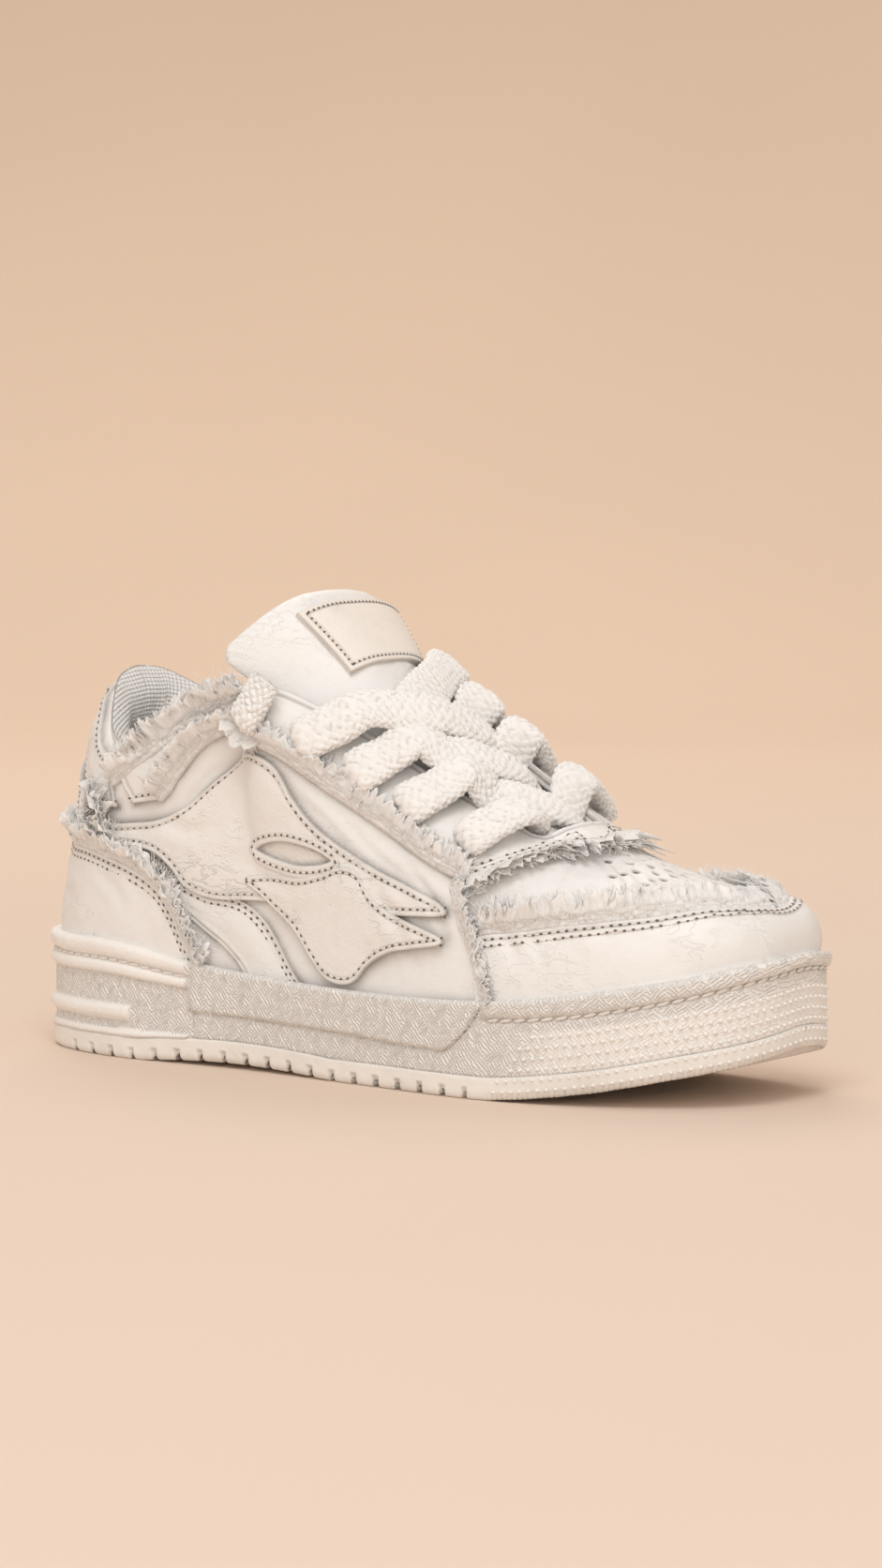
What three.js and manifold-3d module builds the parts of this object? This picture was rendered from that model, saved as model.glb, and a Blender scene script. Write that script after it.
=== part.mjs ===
// Low chunky sneaker, right foot. Millimetres, +Z up, +Y to the toe, +X to the outer (lateral) side.
import * as THREE from 'three'
import Module from 'manifold-3d'

// ---- driving dimensions -------------------------------------------------
const LENGTH = 268         // outsole, heel to toe
const TIP_SHIFT = -9       // the toe tip leans to the inner side
const END_ROUND = 0.6      // how bluntly the outline closes at heel and toe
const TREAD = 7            // outsole layer height
const GROOVE = { pitch: 9, width: 2.2, depth: 2.2, first: -112, last: 48 }
const RIM_WALL = 4         // cup wall left outside the upper
const GAP = 0.35           // between pieces that are bonded in the real shoe
const SKIN = 1.8           // upper wall
const OVERLAY = 1.4        // toe guard, counter, eyestays
const INSOLE = 4
const LACE = { width: 11.5, thick: 4.8 }
const EYELET = 2.4         // hole radius

// Control values along the station u, 0 at the heel and 1 at the toe.
const OUT_U = [0, 0.12, 0.25, 0.4, 0.52, 0.64, 0.76, 0.88, 1]
const OUT_LATERAL = [42, 43.5, 43, 37, 42.5, 51.5, 52.5, 52, 49]
const OUT_MEDIAL = [42, 43, 38, 34.5, 38.5, 46.5, 50, 50, 49]
const FLOOR_U = [0, 0.1, 0.29, 0.32, 0.46, 0.49, 0.64, 0.72, 0.82, 0.92, 1]
const FLOOR_Z = [2, 0, 0, 0.8, 0.8, 0, 0, 3.2, 8.7, 12.7, 15.5]
const RIM_U = [0, 0.15, 0.28, 0.33, 0.5, 0.65, 0.78, 0.9, 1]
const RIM_Z = [37.5, 37, 36, 33, 28.5, 30, 36, 41.5, 44]
const BED_U = [0, 0.3, 0.5, 0.65, 0.8, 1]
const BED_Z = [21, 19.5, 16.5, 14.5, 19, 28]
// The free top line of the upper: collar, ear of the eyestay, throat, then the toe ridge.
const TOP_U = [0, 0.06, 0.12, 0.17, 0.22, 0.27, 0.33, 0.38, 0.42, 0.46, 0.5, 0.58, 0.66, 0.76, 0.88, 1]
const TOP_Y = [-110, -108.5, -103, -95, -85, -73.5, -60.5, -46, -31.5, -18, -5, 22, 50, 71, 91, 106]
const TOP_Z = {
  lateral: [118.5, 114, 101, 96, 96.3, 101.5, 109.5, 116, 118, 112.5, 105, 90, 77, 70, 64, 59],
  medial: [118.5, 117, 112, 107, 104, 106, 113, 119.5, 123, 119, 112, 97, 80, 70.5, 64, 59],
}
const TOP_X = {
  lateral: [30, 34, 40.5, 41, 40, 38, 36, 35, 32.5, 27.5, 22.5, 18.5, 17.5, 15.5, 12.5, 9],
  medial: [30, 34, 40, 40, 38.5, 37, 36, 35.5, 33.5, 29.5, 25.5, 21, 18.5, 15.5, 12.5, 9],
}
const WALL_U = [0, 0.12, 0.27, 0.42, 0.5, 0.66, 0.76, 0.88, 1]
const WALL_LEAN = [8, 8, 8, 8, 8, 4, 2, 0, -2]       // degrees inwards at the sole
const WALL_TOP = [62, 64, 74, 66, 50, 27, 22, 18, 15] // slope at the top line
const WALL_LOW = [0.42, 0.42, 0.4, 0.42, 0.45, 0.5, 0.52, 0.55, 0.6]
const WALL_HIGH = [0.35, 0.35, 0.35, 0.33, 0.4, 0.48, 0.52, 0.55, 0.6]
const THROAT_U = 0.685
// Tongue: b runs from under the vamp to its top along the centre line C; the sides drop away from it.
const TONGUE_B = [0, 0.2, 0.4, 0.6, 0.75, 0.88, 1]
const TONGUE = {
  y: [66, 48, 30, 12, -3, -15, -30],
  z: [61.5, 72.5, 84, 99, 115, 129.5, 145],
  lateral: [3, 8, 11, 14, 16, 18, 21],
  medial: [3, 7, 9, 10.5, 11, 11, 12],
  half: [14, 17, 20, 23, 25.5, 28, 34],
  thick: [3, 4.5, 6, 8, 9, 9.5, 9],
}
const EYELET_U = [0.616, 0.557, 0.506, 0.457, 0.417]   // from the toe end up
const EYELET_T = [0.74, 0.785, 0.82, 0.85, 0.867]
// Stations and rows shared by every piece laid on the upper, so neighbours stay parallel.
const STATIONS = [0, 0.03, 0.06, 0.09, 0.12, 0.145, 0.17, 0.195, 0.22, 0.245, 0.275, 0.305, 0.335, 0.36, 0.38,
  0.4, 0.42, 0.44, 0.465, 0.49, 0.53, 0.565, 0.6, 0.63, 0.66, 0.685, 0.72, 0.76, 0.81, 0.86, 0.91, 0.955, 1]
const ROWS = [0, 0.15, 0.3, 0.45, 0.6, 0.73, 0.83, 0.92, 1]

// ---- small tools ---------------------------------------------------------
const V = (x, y, z) => new THREE.Vector3(x, y, z)
const SLOPE = V(0, -0.71, 0.704)     // up along the instep
const OUTWARD = V(0, 0.704, 0.71)    // off the instep
const rad = THREE.MathUtils.degToRad

// Smooth curve through control values: cubic pieces with slopes taken from the neighbours.
function curve(knots, values, u) {
  const n = knots.length
  const x = Math.min(Math.max(u, knots[0]), knots[n - 1])
  let i = 0
  while (i < n - 2 && x > knots[i + 1]) i++
  const slope = (k) => (values[k + 1] - values[k]) / (knots[k + 1] - knots[k])
  const width = (k) => knots[k + 1] - knots[k]
  const tangent = (k) => {
    if (k === 0) return slope(0)
    if (k === n - 1) return slope(n - 2)
    return (slope(k - 1) * width(k) + slope(k) * width(k - 1)) / (width(k) + width(k - 1))
  }
  const h = width(i)
  const t = (x - knots[i]) / h
  return (2 * t ** 3 - 3 * t ** 2 + 1) * values[i] + (t ** 3 - 2 * t ** 2 + t) * h * tangent(i) +
    (3 * t ** 2 - 2 * t ** 3) * values[i + 1] + (t ** 3 - t ** 2) * h * tangent(i + 1)
}

function geometryOf(points, faces) {
  const geometry = new THREE.BufferGeometry().setFromPoints(points)
  geometry.setIndex(faces.flat())
  geometry.computeVertexNormals()
  return geometry
}

// ---- the last: outline, heights, wall of the upper ---------------------------
const centre = (u) => TIP_SHIFT * curve([0, 0.5, 0.75, 1], [0, 0, 0.35, 1], u)
const closing = (u) => Math.max(Math.sin(Math.PI * u), 0) ** END_ROUND
const floorZ = (u) => Math.max(curve(FLOOR_U, FLOOR_Z, u), 0)
const rimZ = (u) => curve(RIM_U, RIM_Z, u)
const bedZ = (u) => curve(BED_U, BED_Z, u)

function outline(u, side, inset, z) {
  const half = curve(OUT_U, side > 0 ? OUT_LATERAL : OUT_MEDIAL, u) - inset
  return V(centre(u) + side * half * closing(u), -(LENGTH / 2 - inset) * Math.cos(Math.PI * u), z)
}

function topLine(u, side) {
  const face = side > 0 ? 'lateral' : 'medial'
  return V(centre(u) / 2 + side * curve(TOP_U, TOP_X[face], u) * closing(u),
    curve(TOP_U, TOP_Y, u), curve(TOP_U, TOP_Z[face], u))
}

// A point of the upper's outer face: t is 0 at the sole and 1 on the top line.
function wall(u, t, side) {
  const foot = outline(u, side, RIM_WALL, rimZ(u) - 2)
  const top = topLine(u, side)
  const chord = foot.distanceTo(top)
  const inward = V(top.x - foot.x, top.y - foot.y, 0).normalize()
  const aim = (angle) => inward.clone().multiplyScalar(Math.cos(angle)).setZ(Math.sin(angle))
  const low = foot.clone().addScaledVector(aim(rad(90 - curve(WALL_U, WALL_LEAN, u))),
    chord * curve(WALL_U, WALL_LOW, u))
  const high = top.clone().addScaledVector(aim(rad(curve(WALL_U, WALL_TOP, u))),
    -chord * curve(WALL_U, WALL_HIGH, u))
  const s = 1 - t
  return foot.multiplyScalar(s ** 3).addScaledVector(low, 3 * s * s * t)
    .addScaledVector(high, 3 * s * t * t).addScaledVector(top, t ** 3)
}

// The crowned strip between the two top lines, ahead of the throat; s is 1 lateral, -1 medial.
function ridge(u, s) {
  const a = topLine(u, 1)
  const b = topLine(u, -1)
  const rise = a.distanceTo(b) / 4 * Math.tan(rad(curve(WALL_U, WALL_TOP, u))) * (1 - s * s) *
    curve([0.6, 1], [0.8, 0.6], u)
  return b.lerp(a, (s + 1) / 2).add(V(0, 0, rise))
}

// ---- solids from sheets ---------------------------------------------------------
// Columns of a sheet that goes round the shoe: lateral from u0 to u1, or through an end to the medial side.
const lateralTo = (u0, u1) => STATIONS.filter((u) => u >= u0 && u <= u1).map((u) => ({ u, side: 1 }))
const medialTo = (u0, u1) => lateralTo(u0, u1).reverse().map(({ u }) => ({ u, side: -1 }))
const roundToe = (u0) => [...lateralTo(u0, 1), ...medialTo(u0, 0.99)]
const roundHeel = (uMedial, uLateral) => [...medialTo(0.01, uMedial), ...lateralTo(0, uLateral)]

// A sheet over a list of columns, each with the same number of rows; place(column, row) gives the point.
function sheetOf(columns, rows, place, closed = false) {
  const points = []
  const faces = []
  columns.forEach((column) => {
    for (let r = 0; r < rows; r++) points.push(place(column, r))
  })
  const n = columns.length
  for (let c = 0; c < (closed ? n : n - 1); c++) {
    const next = (c + 1) % n
    for (let r = 0; r < rows - 1; r++) {
      const [a, b, d, e] = [c * rows + r, next * rows + r, next * rows + r + 1, c * rows + r + 1]
      faces.push([a, b, d], [a, d, e])
    }
  }
  return { points, faces }
}

// Thickens a sheet along its own normals, from `inner` to `outer`: numbers, or functions of the point number.
function thicken({ points, faces }, outer, inner) {
  const far = typeof outer === 'function' ? outer : () => outer
  const near = typeof inner === 'function' ? inner : () => inner
  const normals = points.map(() => V(0, 0, 0))
  faces.forEach(([a, b, c]) => {
    const n = points[b].clone().sub(points[a]).cross(points[c].clone().sub(points[a]))
    for (const k of [a, b, c]) normals[k].add(n)
  })
  normals.forEach((n) => n.normalize())
  const count = points.length
  const solid = [
    ...points.map((p, i) => p.clone().addScaledVector(normals[i], far(i))),
    ...points.map((p, i) => p.clone().addScaledVector(normals[i], near(i))),
  ]
  const out = []
  const edges = new Set()
  faces.forEach(([a, b, c]) => {
    out.push([a, b, c], [count + a, count + c, count + b])
    for (const [p, q] of [[a, b], [b, c], [c, a]]) edges.add(p + ' ' + q)
  })
  edges.forEach((edge) => {
    const [p, q] = edge.split(' ').map(Number)
    if (!edges.has(q + ' ' + p)) out.push([q, p, count + p], [q, count + p, count + q])
  })
  return geometryOf(solid, out)
}

// Closes a stack of equal rings, each symmetric about its first point, with strips across both ends.
function stackOf(rings) {
  const n = rings[0].length
  const faces = []
  for (let k = 0; k < rings.length - 1; k++) {
    for (let i = 0; i < n; i++) {
      const j = (i + 1) % n
      faces.push([k * n + i, k * n + j, (k + 1) * n + j], [k * n + i, (k + 1) * n + j, (k + 1) * n + i])
    }
  }
  const across = (base, flip) => {
    for (let i = 0; i < n / 2; i++) {
      const [a, b, c, d] = [i, i + 1, (n - i - 1) % n, (n - i) % n].map((v) => base + v)
      const pair = [[a, c, b], [a, d, c]].filter((f) => new Set(f).size === 3)
      pair.forEach((f) => faces.push(flip ? f.slice().reverse() : f))
    }
  }
  across(0, false)
  across((rings.length - 1) * n, true)
  return geometryOf(rings.flat(), faces)
}

const SOLE_U = Array.from({ length: 37 }, (_, i) => i / 36)
const soleRing = (inset, height) => [
  ...SOLE_U.map((u) => outline(u, 1, inset, height(u))),
  ...SOLE_U.slice(1, -1).reverse().map((u) => outline(u, -1, inset, height(u))),
]

// ---- joins and cuts ----------------------------------------------------------------
const wasm = await Module()
wasm.setup()

function toSolid(geometry) {
  const mesh = new wasm.Mesh({
    numProp: 3,
    vertProperties: new Float32Array(geometry.getAttribute('position').array),
    triVerts: new Uint32Array(geometry.index.array),
  })
  mesh.merge()
  return new wasm.Manifold(mesh)
}

function fromSolid(solid) {
  const { numProp, vertProperties, triVerts } = solid.getMesh()
  const points = []
  for (let i = 0; i < vertProperties.length; i += numProp) {
    points.push(V(vertProperties[i], vertProperties[i + 1], vertProperties[i + 2]))
  }
  return geometryOf(points, [Array.from(triVerts)])
}

const join = (geometries) => fromSolid(wasm.Manifold.union(geometries.map(toSolid)))

// A short rod along `axis`, centred at `at`, as a cutting tool.
function rod(at, axis, radius, height) {
  const tool = new THREE.CylinderGeometry(radius, radius, height, 8)
  tool.applyQuaternion(new THREE.Quaternion().setFromUnitVectors(V(0, 1, 0), axis))
  tool.translate(at.x, at.y, at.z)
  tool.deleteAttribute('normal')
  tool.deleteAttribute('uv')
  return tool
}

// ---- sole -----------------------------------------------------------------------
function makeOutsole() {
  const slab = stackOf([
    soleRing(2.2, floorZ),
    soleRing(1.2, (u) => floorZ(u) + 0.8),
    soleRing(0.8, (u) => floorZ(u) + TREAD - 0.6),
    soleRing(1.2, (u) => floorZ(u) + TREAD),
  ])
  const cuts = []
  for (let y = GROOVE.first; y <= GROOVE.last; y += GROOVE.pitch) {
    const bar = new THREE.BoxGeometry(130, GROOVE.width, GROOVE.depth * 2)
    cuts.push(toSolid(bar.translate(0, y, 0)))
  }
  return fromSolid(toSolid(slab).subtract(wasm.Manifold.union(cuts)))
}

function makeMidsole() {
  const base = (u) => floorZ(u) + TREAD + GAP
  const part = (share) => (u) => base(u) + (rimZ(u) - base(u)) * share
  return stackOf([
    soleRing(1.2, base),
    soleRing(0.6, part(0.06)),
    soleRing(0.3, part(0.66)),
    soleRing(0.9, part(0.7)),
    soleRing(0.9, part(0.73)),
    soleRing(0.1, part(0.77)),
    soleRing(0.1, part(0.95)),
    soleRing(0.9, part(1)),
    soleRing(RIM_WALL - GAP - 0.5, part(1)),
    soleRing(RIM_WALL - GAP, (u) => rimZ(u) - 0.8),
    soleRing(RIM_WALL - GAP, bedZ),
  ])
}

const makeInsole = () => stackOf([
  soleRing(RIM_WALL + SKIN + 1, (u) => bedZ(u) + GAP),
  soleRing(RIM_WALL + SKIN + 0.6, (u) => bedZ(u) + INSOLE - 1),
  soleRing(RIM_WALL + SKIN + 1.4, (u) => bedZ(u) + INSOLE),
])

// ---- upper ------------------------------------------------------------------------
const eyelet = (k, side) => {
  const at = wall(EYELET_U[k], EYELET_T[k], side)
  const along = wall(EYELET_U[k] + 0.01, EYELET_T[k], side).sub(at)
  const rise = wall(EYELET_U[k], EYELET_T[k] + 0.02, side).sub(at)
  return { at, axis: along.cross(rise).multiplyScalar(side).normalize() }
}
const eyeletTools = (side) => EYELET_U.map((_, k) => {
  const { at, axis } = eyelet(k, side)
  return toSolid(rod(at, axis, EYELET, 9))
})

function makeUpper() {
  const columns = [...lateralTo(0, 1), ...medialTo(0.01, 0.99)]
  const rows = ROWS.length + 1
  const skin = sheetOf(columns, rows, ({ u, side }, r) => (r === 0
    ? outline(u, side, RIM_WALL, bedZ(u) + GAP)
    : wall(u, ROWS[r - 1], side)), true)
  const across = 6
  const stations = lateralTo(THROAT_U, 0.99)
  const find = (u, side) => columns.findIndex((c) => c.u === u && c.side === side) * rows + rows - 1
  const tip = find(1, 1)
  const strip = stations.map(({ u }) => {
    const line = [find(u, 1)]
    for (let i = 1; i < across; i++) {
      line.push(skin.points.length)
      skin.points.push(ridge(u, 1 - 2 * i / across))
    }
    line.push(find(u, -1))
    return line
  })
  strip.forEach((line, k) => {
    for (let i = 0; i < across; i++) {
      const ahead = strip[k + 1]
      if (ahead) skin.faces.push([line[i], ahead[i], ahead[i + 1]], [line[i], ahead[i + 1], line[i + 1]])
      else skin.faces.push([line[i], tip, line[i + 1]])
    }
  })
  const holes = wasm.Manifold.union([...eyeletTools(1), ...eyeletTools(-1)])
  return fromSolid(toSolid(thicken(skin, 0, -SKIN)).subtract(holes))
}

// An overlay on the wall between two heights, each a function of the column, `off` clear of the skin.
function overlay(columns, rows, from, to, off = GAP) {
  const place = (c, r) => wall(c.u, from(c) + (to(c) - from(c)) * r / (rows - 1), c.side)
  return thicken(sheetOf(columns, rows, place), off + OVERLAY, off)
}

const makeToeGuard = () => overlay(roundToe(0.6), 5, ({ u }) => curve([0.6, 0.8, 1], [0.04, 0.05, 0.08], u),
  ({ u }) => curve([0.6, 0.8, 1], [0.27, 0.3, 0.4], u))

const makeHeelCounter = () => overlay(roundHeel(0.22, 0.22), 5, () => 0.035,
  ({ u }) => curve([0, 0.08, 0.14, 0.2, 0.22], [0.36, 0.32, 0.26, 0.12, 0.08], u))

function makeEyestay(side) {
  const columns = side > 0 ? lateralTo(0.36, 0.685) : medialTo(0.36, 0.685)
  const low = ({ u }) => curve([0.36, 0.42, 0.5, 0.55, 0.6, 0.685],
    [0.85, 0.775, 0.695, 0.635, 0.56, 0.6], u)
  const plate = overlay(columns, 5, low, () => 1, 2.2 * GAP)
  return fromSolid(toSolid(plate).subtract(wasm.Manifold.union(eyeletTools(side))))
}

// Padded collar: starts just inside the skin, swells inwards and ends a little above the top line.
function makeCollar() {
  const columns = roundHeel(0.38, 0.38)
  const heights = [0.6, 0.73, 0.83, 0.92, 1, 1.03]
  const swell = [1.5, 4, 5.5, 6.5, 5.5, 2.5]
  const sheet = sheetOf(columns, heights.length, (c, r) => wall(c.u, heights[r], c.side))
  const ease = (i) => {
    const { u } = columns[Math.floor(i / heights.length)]
    return curve([0, 0.2, 0.3, 0.38], [1, 1, 0.8, 0.25], u)
  }
  const skin = SKIN + GAP
  return thicken(sheet, () => -skin, (i) => -skin - 0.8 - swell[i % heights.length] * ease(i))
}

// ---- tongue ---------------------------------------------------------------------
const tongueValue = (name, b) => curve(TONGUE_B, TONGUE[name], b)

// Front face of the tongue at b along and s across; a squarish crown, fuller on the medial side.
function tongueFront(b, s) {
  const drop = tongueValue(s > 0 ? 'lateral' : 'medial', b) * Math.abs(s) ** 2.8
  return V(tongueValue('half', b) * s, tongueValue('y', b), tongueValue('z', b))
    .addScaledVector(OUTWARD, -drop)
}

function makeTongue() {
  const along = [0, 0.1, 0.2, 0.3, 0.4, 0.5, 0.6, 0.68, 0.75, 0.82, 0.88, 0.94, 1]
  const acrossCount = 12
  const sheet = sheetOf(along.map((b) => ({ b })), acrossCount + 1,
    ({ b }, r) => tongueFront(b, -1 + 2 * r / acrossCount))
  const count = acrossCount + 1
  const thickness = (i) => {
    const b = along[Math.floor(i / count)]
    const s = Math.abs(-1 + 2 * (i % count) / acrossCount)
    const tip = curve([0, 0.9, 1], [1, 1, 0.55], b)
    return tongueValue('thick', b) * (1 - 0.65 * s ** 3) * tip
  }
  return thicken(sheet, 0, (i) => -thickness(i))
}

const makeLabel = () => {
  const along = [0.868, 0.9, 0.935, 0.972]
  const count = 9
  const sheet = sheetOf(along.map((b) => ({ b })), count,
    ({ b }, r) => tongueFront(b, 0.72 * (-1 + 2 * r / (count - 1))))
  return thicken(sheet, GAP + 1.1, GAP)
}

// ---- laces --------------------------------------------------------------------------
const REST = LACE.thick / 2

// The tongue's b level with a point on the throat.
function levelWith(point) {
  let low = 0
  let high = 1
  for (let i = 0; i < 24; i++) {
    const mid = (low + high) / 2
    if (tongueFront(mid, 0).sub(point).dot(SLOPE) < 0) low = mid
    else high = mid
  }
  return (low + high) / 2
}

// Flat-oval cord through stations of { at, out }: out is the way its flat face looks.
function cord(stations, steps = 9) {
  const path = new THREE.CatmullRomCurve3(stations.map((s) => s.at))
  const facing = new THREE.CatmullRomCurve3(stations.map((s) => s.out))
  const ring = 8
  const points = []
  for (let i = 0; i <= steps; i++) {
    const along = path.getTangent(i / steps)
    const side = along.clone().cross(facing.getPoint(i / steps)).normalize()
    const up = side.clone().cross(along).normalize()
    for (let k = 0; k < ring; k++) {
      const a = 2 * Math.PI * (k + 0.5) / ring
      points.push(path.getPoint(i / steps)
        .addScaledVector(side, Math.cos(a) * LACE.width / 2 * 1.03)
        .addScaledVector(up, Math.sin(a) * LACE.thick / 2 * 1.03))
    }
  }
  const faces = []
  for (let i = 0; i < steps; i++) {
    for (let k = 0; k < ring; k++) {
      const [a, b] = [i * ring + k, i * ring + (k + 1) % ring]
      faces.push([a, b + ring, b], [a, a + ring, b + ring])
    }
  }
  for (let k = 1; k < ring - 1; k++) {
    faces.push([0, k, k + 1], [steps * ring, steps * ring + k + 1, steps * ring + k])
  }
  return geometryOf(points, faces)
}

const clear = OVERLAY + 2 * GAP + REST + 0.5
const EDGE_LIFT = 2.7
// A strand leans this far toeward between its eyelet and the edge.
const ahead = (side) => (side > 0 ? 0.04 : 0.02)
// Over the eyestay, `share` of the way from eyelet k to where its strand meets the edge.
const overStay = (k, side, share, lift) => {
  const u = EYELET_U[k] + ahead(side) * share
  const t = EYELET_T[k] + (1 - EYELET_T[k]) * share
  const at = wall(u, t, side)
  const out = wall(u + 0.01, t, side).sub(at).cross(wall(u, t - 0.02, side).sub(at)).multiplyScalar(-side)
    .normalize().add(V(0, 0.4 * share, 0.8 * share)).normalize()
  return { at: at.addScaledVector(out, clear + EDGE_LIFT * share + lift), out }
}
const overTongue = (b, s, lift) => {
  const at = tongueFront(b, s)
  const out = tongueFront(b, s - 0.02).sub(at).cross(tongueFront(b + 0.01, s).sub(at)).normalize()
    .add(OUTWARD).normalize()
  return { at: at.addScaledVector(out, REST + 0.8 + lift), out }
}

// Out of eyelet k, over the throat edge, down the tongue by one eyelet, to just short of the other edge.
function crossing(k, side, lift) {
  const [upper, lower] = [k, k - 1].map((i) => EYELET_U[i] + ahead(side))
  const stop = (s, share, height) => {
    const b = levelWith(topLine(upper + (lower - upper) * share * (side > 0 ? 1 : 1.3 - 0.6 * s), side))
    return overTongue(b, side * s, lift * height + 2 * EDGE_LIFT * Math.max(s, 0) ** 2)
  }
  return cord([overStay(k, side, 0, 0), overStay(k, side, 0.5, 0), overStay(k, side, 1, lift * 0.3),
    stop(0.56, 0.24, 1), stop(0.3, 0.44, 1), stop(0, 0.55, 1), stop(-0.35, 0.6, 0.5), stop(-0.54, 0.68, 0)])
}

function bar() {
  const b = levelWith(topLine(EYELET_U[0] + ahead(1), 1))
  return cord([overStay(0, 1, 0, 0), overStay(0, 1, 1, 0.3), overTongue(b, 0.4, 0.8), overTongue(b, 0, 0.2),
    overTongue(b, -0.4, 0.8), overStay(0, -1, 1, 0.3), overStay(0, -1, 0, 0)])
}

function stub(side) {
  const start = overStay(4, side, 0, 0)
  start.at.addScaledVector(start.out, 0.6)
  const edge = topLine(EYELET_U[4] + 0.012, side).add(V(side * 1.8, 0, 0))
  const end = edge.clone().addScaledVector(start.out, clear)
  return cord([start, { at: start.at.clone().lerp(end, 0.5).addScaledVector(start.out, 0.8), out: start.out },
    { at: end.add(V(0, 0, 2.5)), out: start.out }], 6)
}

// ---- the group ------------------------------------------------------------------------
const material = (name, color, roughness) =>
  Object.assign(new THREE.MeshStandardMaterial({ color, roughness, metalness: 0 }), { name })
const rubber = material('rubber', 0xe6dccb, 0.7)
const leather = material('leather', 0xefe8df, 0.6)
const textile = material('textile', 0xf3efe9, 0.9)

const group = new THREE.Group()
function add(name, geometry, look) {
  const mesh = new THREE.Mesh(geometry, look)
  mesh.name = name
  group.add(mesh)
}

add('outsole', makeOutsole(), rubber)
add('midsole', makeMidsole(), rubber)
add('insole', makeInsole(), textile)
add('upper', makeUpper(), leather)
add('toe_guard', makeToeGuard(), leather)
add('heel_counter', makeHeelCounter(), leather)
add('eyestay_outer', makeEyestay(1), leather)
add('eyestay_inner', makeEyestay(-1), leather)
add('collar_lining', makeCollar(), textile)
add('tongue', makeTongue(), leather)
add('tongue_label', makeLabel(), leather)
const strands = [1, 2, 3].flatMap((k) => [crossing(k, 1, 3.8), crossing(k, -1, 1.5)])
add('laces', join([bar(), ...strands]), textile)
add('lace_stub_outer', stub(1), textile)
add('lace_stub_inner', stub(-1), textile)

export default group
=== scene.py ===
# %% [markdown]
# # A low leather sneaker for the right foot
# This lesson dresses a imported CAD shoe. The CAD gives the true form of the last, the sole and
# each piece; here every surface gets the finish of the real thing: stitched leather panels,
# frayed raw edges, a braided lace, a knitted lining and a moulded rubber cup sole.
#
# All shapes are worked out with numpy in millimetres and handed to Blender in metres, so that
# a seam, a fold and a stitch are laid on one surface and meet exactly.

# %% Load the fixed frame
import bpy
import numpy as np
from numpy import arange, array, clip, concatenate, cos, exp, linspace, maximum, minimum
from numpy import pi, sin, sqrt
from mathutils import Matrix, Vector


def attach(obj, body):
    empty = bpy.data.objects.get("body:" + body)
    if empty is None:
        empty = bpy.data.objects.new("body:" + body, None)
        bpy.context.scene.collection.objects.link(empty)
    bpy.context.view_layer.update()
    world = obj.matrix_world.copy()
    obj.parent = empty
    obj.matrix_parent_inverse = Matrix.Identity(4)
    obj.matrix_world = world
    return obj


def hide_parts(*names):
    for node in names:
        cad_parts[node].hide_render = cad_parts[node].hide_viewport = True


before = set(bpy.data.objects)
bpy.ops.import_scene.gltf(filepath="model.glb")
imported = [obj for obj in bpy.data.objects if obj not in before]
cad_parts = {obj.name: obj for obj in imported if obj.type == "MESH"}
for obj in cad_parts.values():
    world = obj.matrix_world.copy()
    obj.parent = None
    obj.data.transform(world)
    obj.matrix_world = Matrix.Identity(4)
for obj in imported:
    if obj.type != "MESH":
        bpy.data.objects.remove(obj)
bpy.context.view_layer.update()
MM = 0.001
print("CAD nodes:", sorted(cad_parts))

# %% [markdown]
# ## Camera, light and floor
# A shoe is usually shown from a little above the floor with a long lens, so that heel and toe
# keep their true sizes. The camera could be dragged into place by hand; here it is worked out
# from an azimuth, an elevation and a distance, because three numbers are easy to change. Large
# soft lamps and a pale world are used because the shade of white leather soon turns grey.

# %% Camera
MIDDLE = Vector((0, 0.0025, 0.060))
AIM = Vector((-0.003, 0.0067, 0.088))
AZIMUTH, ELEVATION, DISTANCE, LENS = np.radians(125), np.radians(5.8), 1.5, 112.0
back = Vector((sin(AZIMUTH) * cos(ELEVATION), -cos(AZIMUTH) * cos(ELEVATION),
               sin(ELEVATION)))
camera = bpy.data.objects.new("camera", bpy.data.cameras.new("camera"))
bpy.context.scene.collection.objects.link(camera)
camera.location = MIDDLE + back * DISTANCE
camera.rotation_mode = "QUATERNION"
camera.rotation_quaternion = (AIM - camera.location).to_track_quat("-Z", "Y")
camera.data.lens = LENS
camera.data.clip_start = 0.05
bpy.context.scene.camera = camera
bpy.context.scene.view_settings.view_transform = "Standard"
print("camera at", [round(x, 3) for x in camera.location])

# %% Lamps and world
def lamp(name, place, size, power, colour):
    """A square soft box at `place`, turned to the shoe."""
    data = bpy.data.lights.new(name, "AREA")
    data.size, data.energy, data.color = size, power, colour
    box = bpy.data.objects.new(name, data)
    bpy.context.scene.collection.objects.link(box)
    box.location = place
    box.rotation_mode = "QUATERNION"
    box.rotation_quaternion = (MIDDLE - Vector(place)).to_track_quat("-Z", "Y")


lamp("key_light", (0.95, 0.55, 1.75), 1.0, 14.0, (1.0, 0.995, 0.99))
lamp("fill_light", (1.6, 0.9, 0.55), 1.4, 7.0, (1.0, 0.985, 0.97))
lamp("rim_light", (-0.9, -0.9, 1.5), 1.0, 8, (1.0, 0.985, 0.965))

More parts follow.
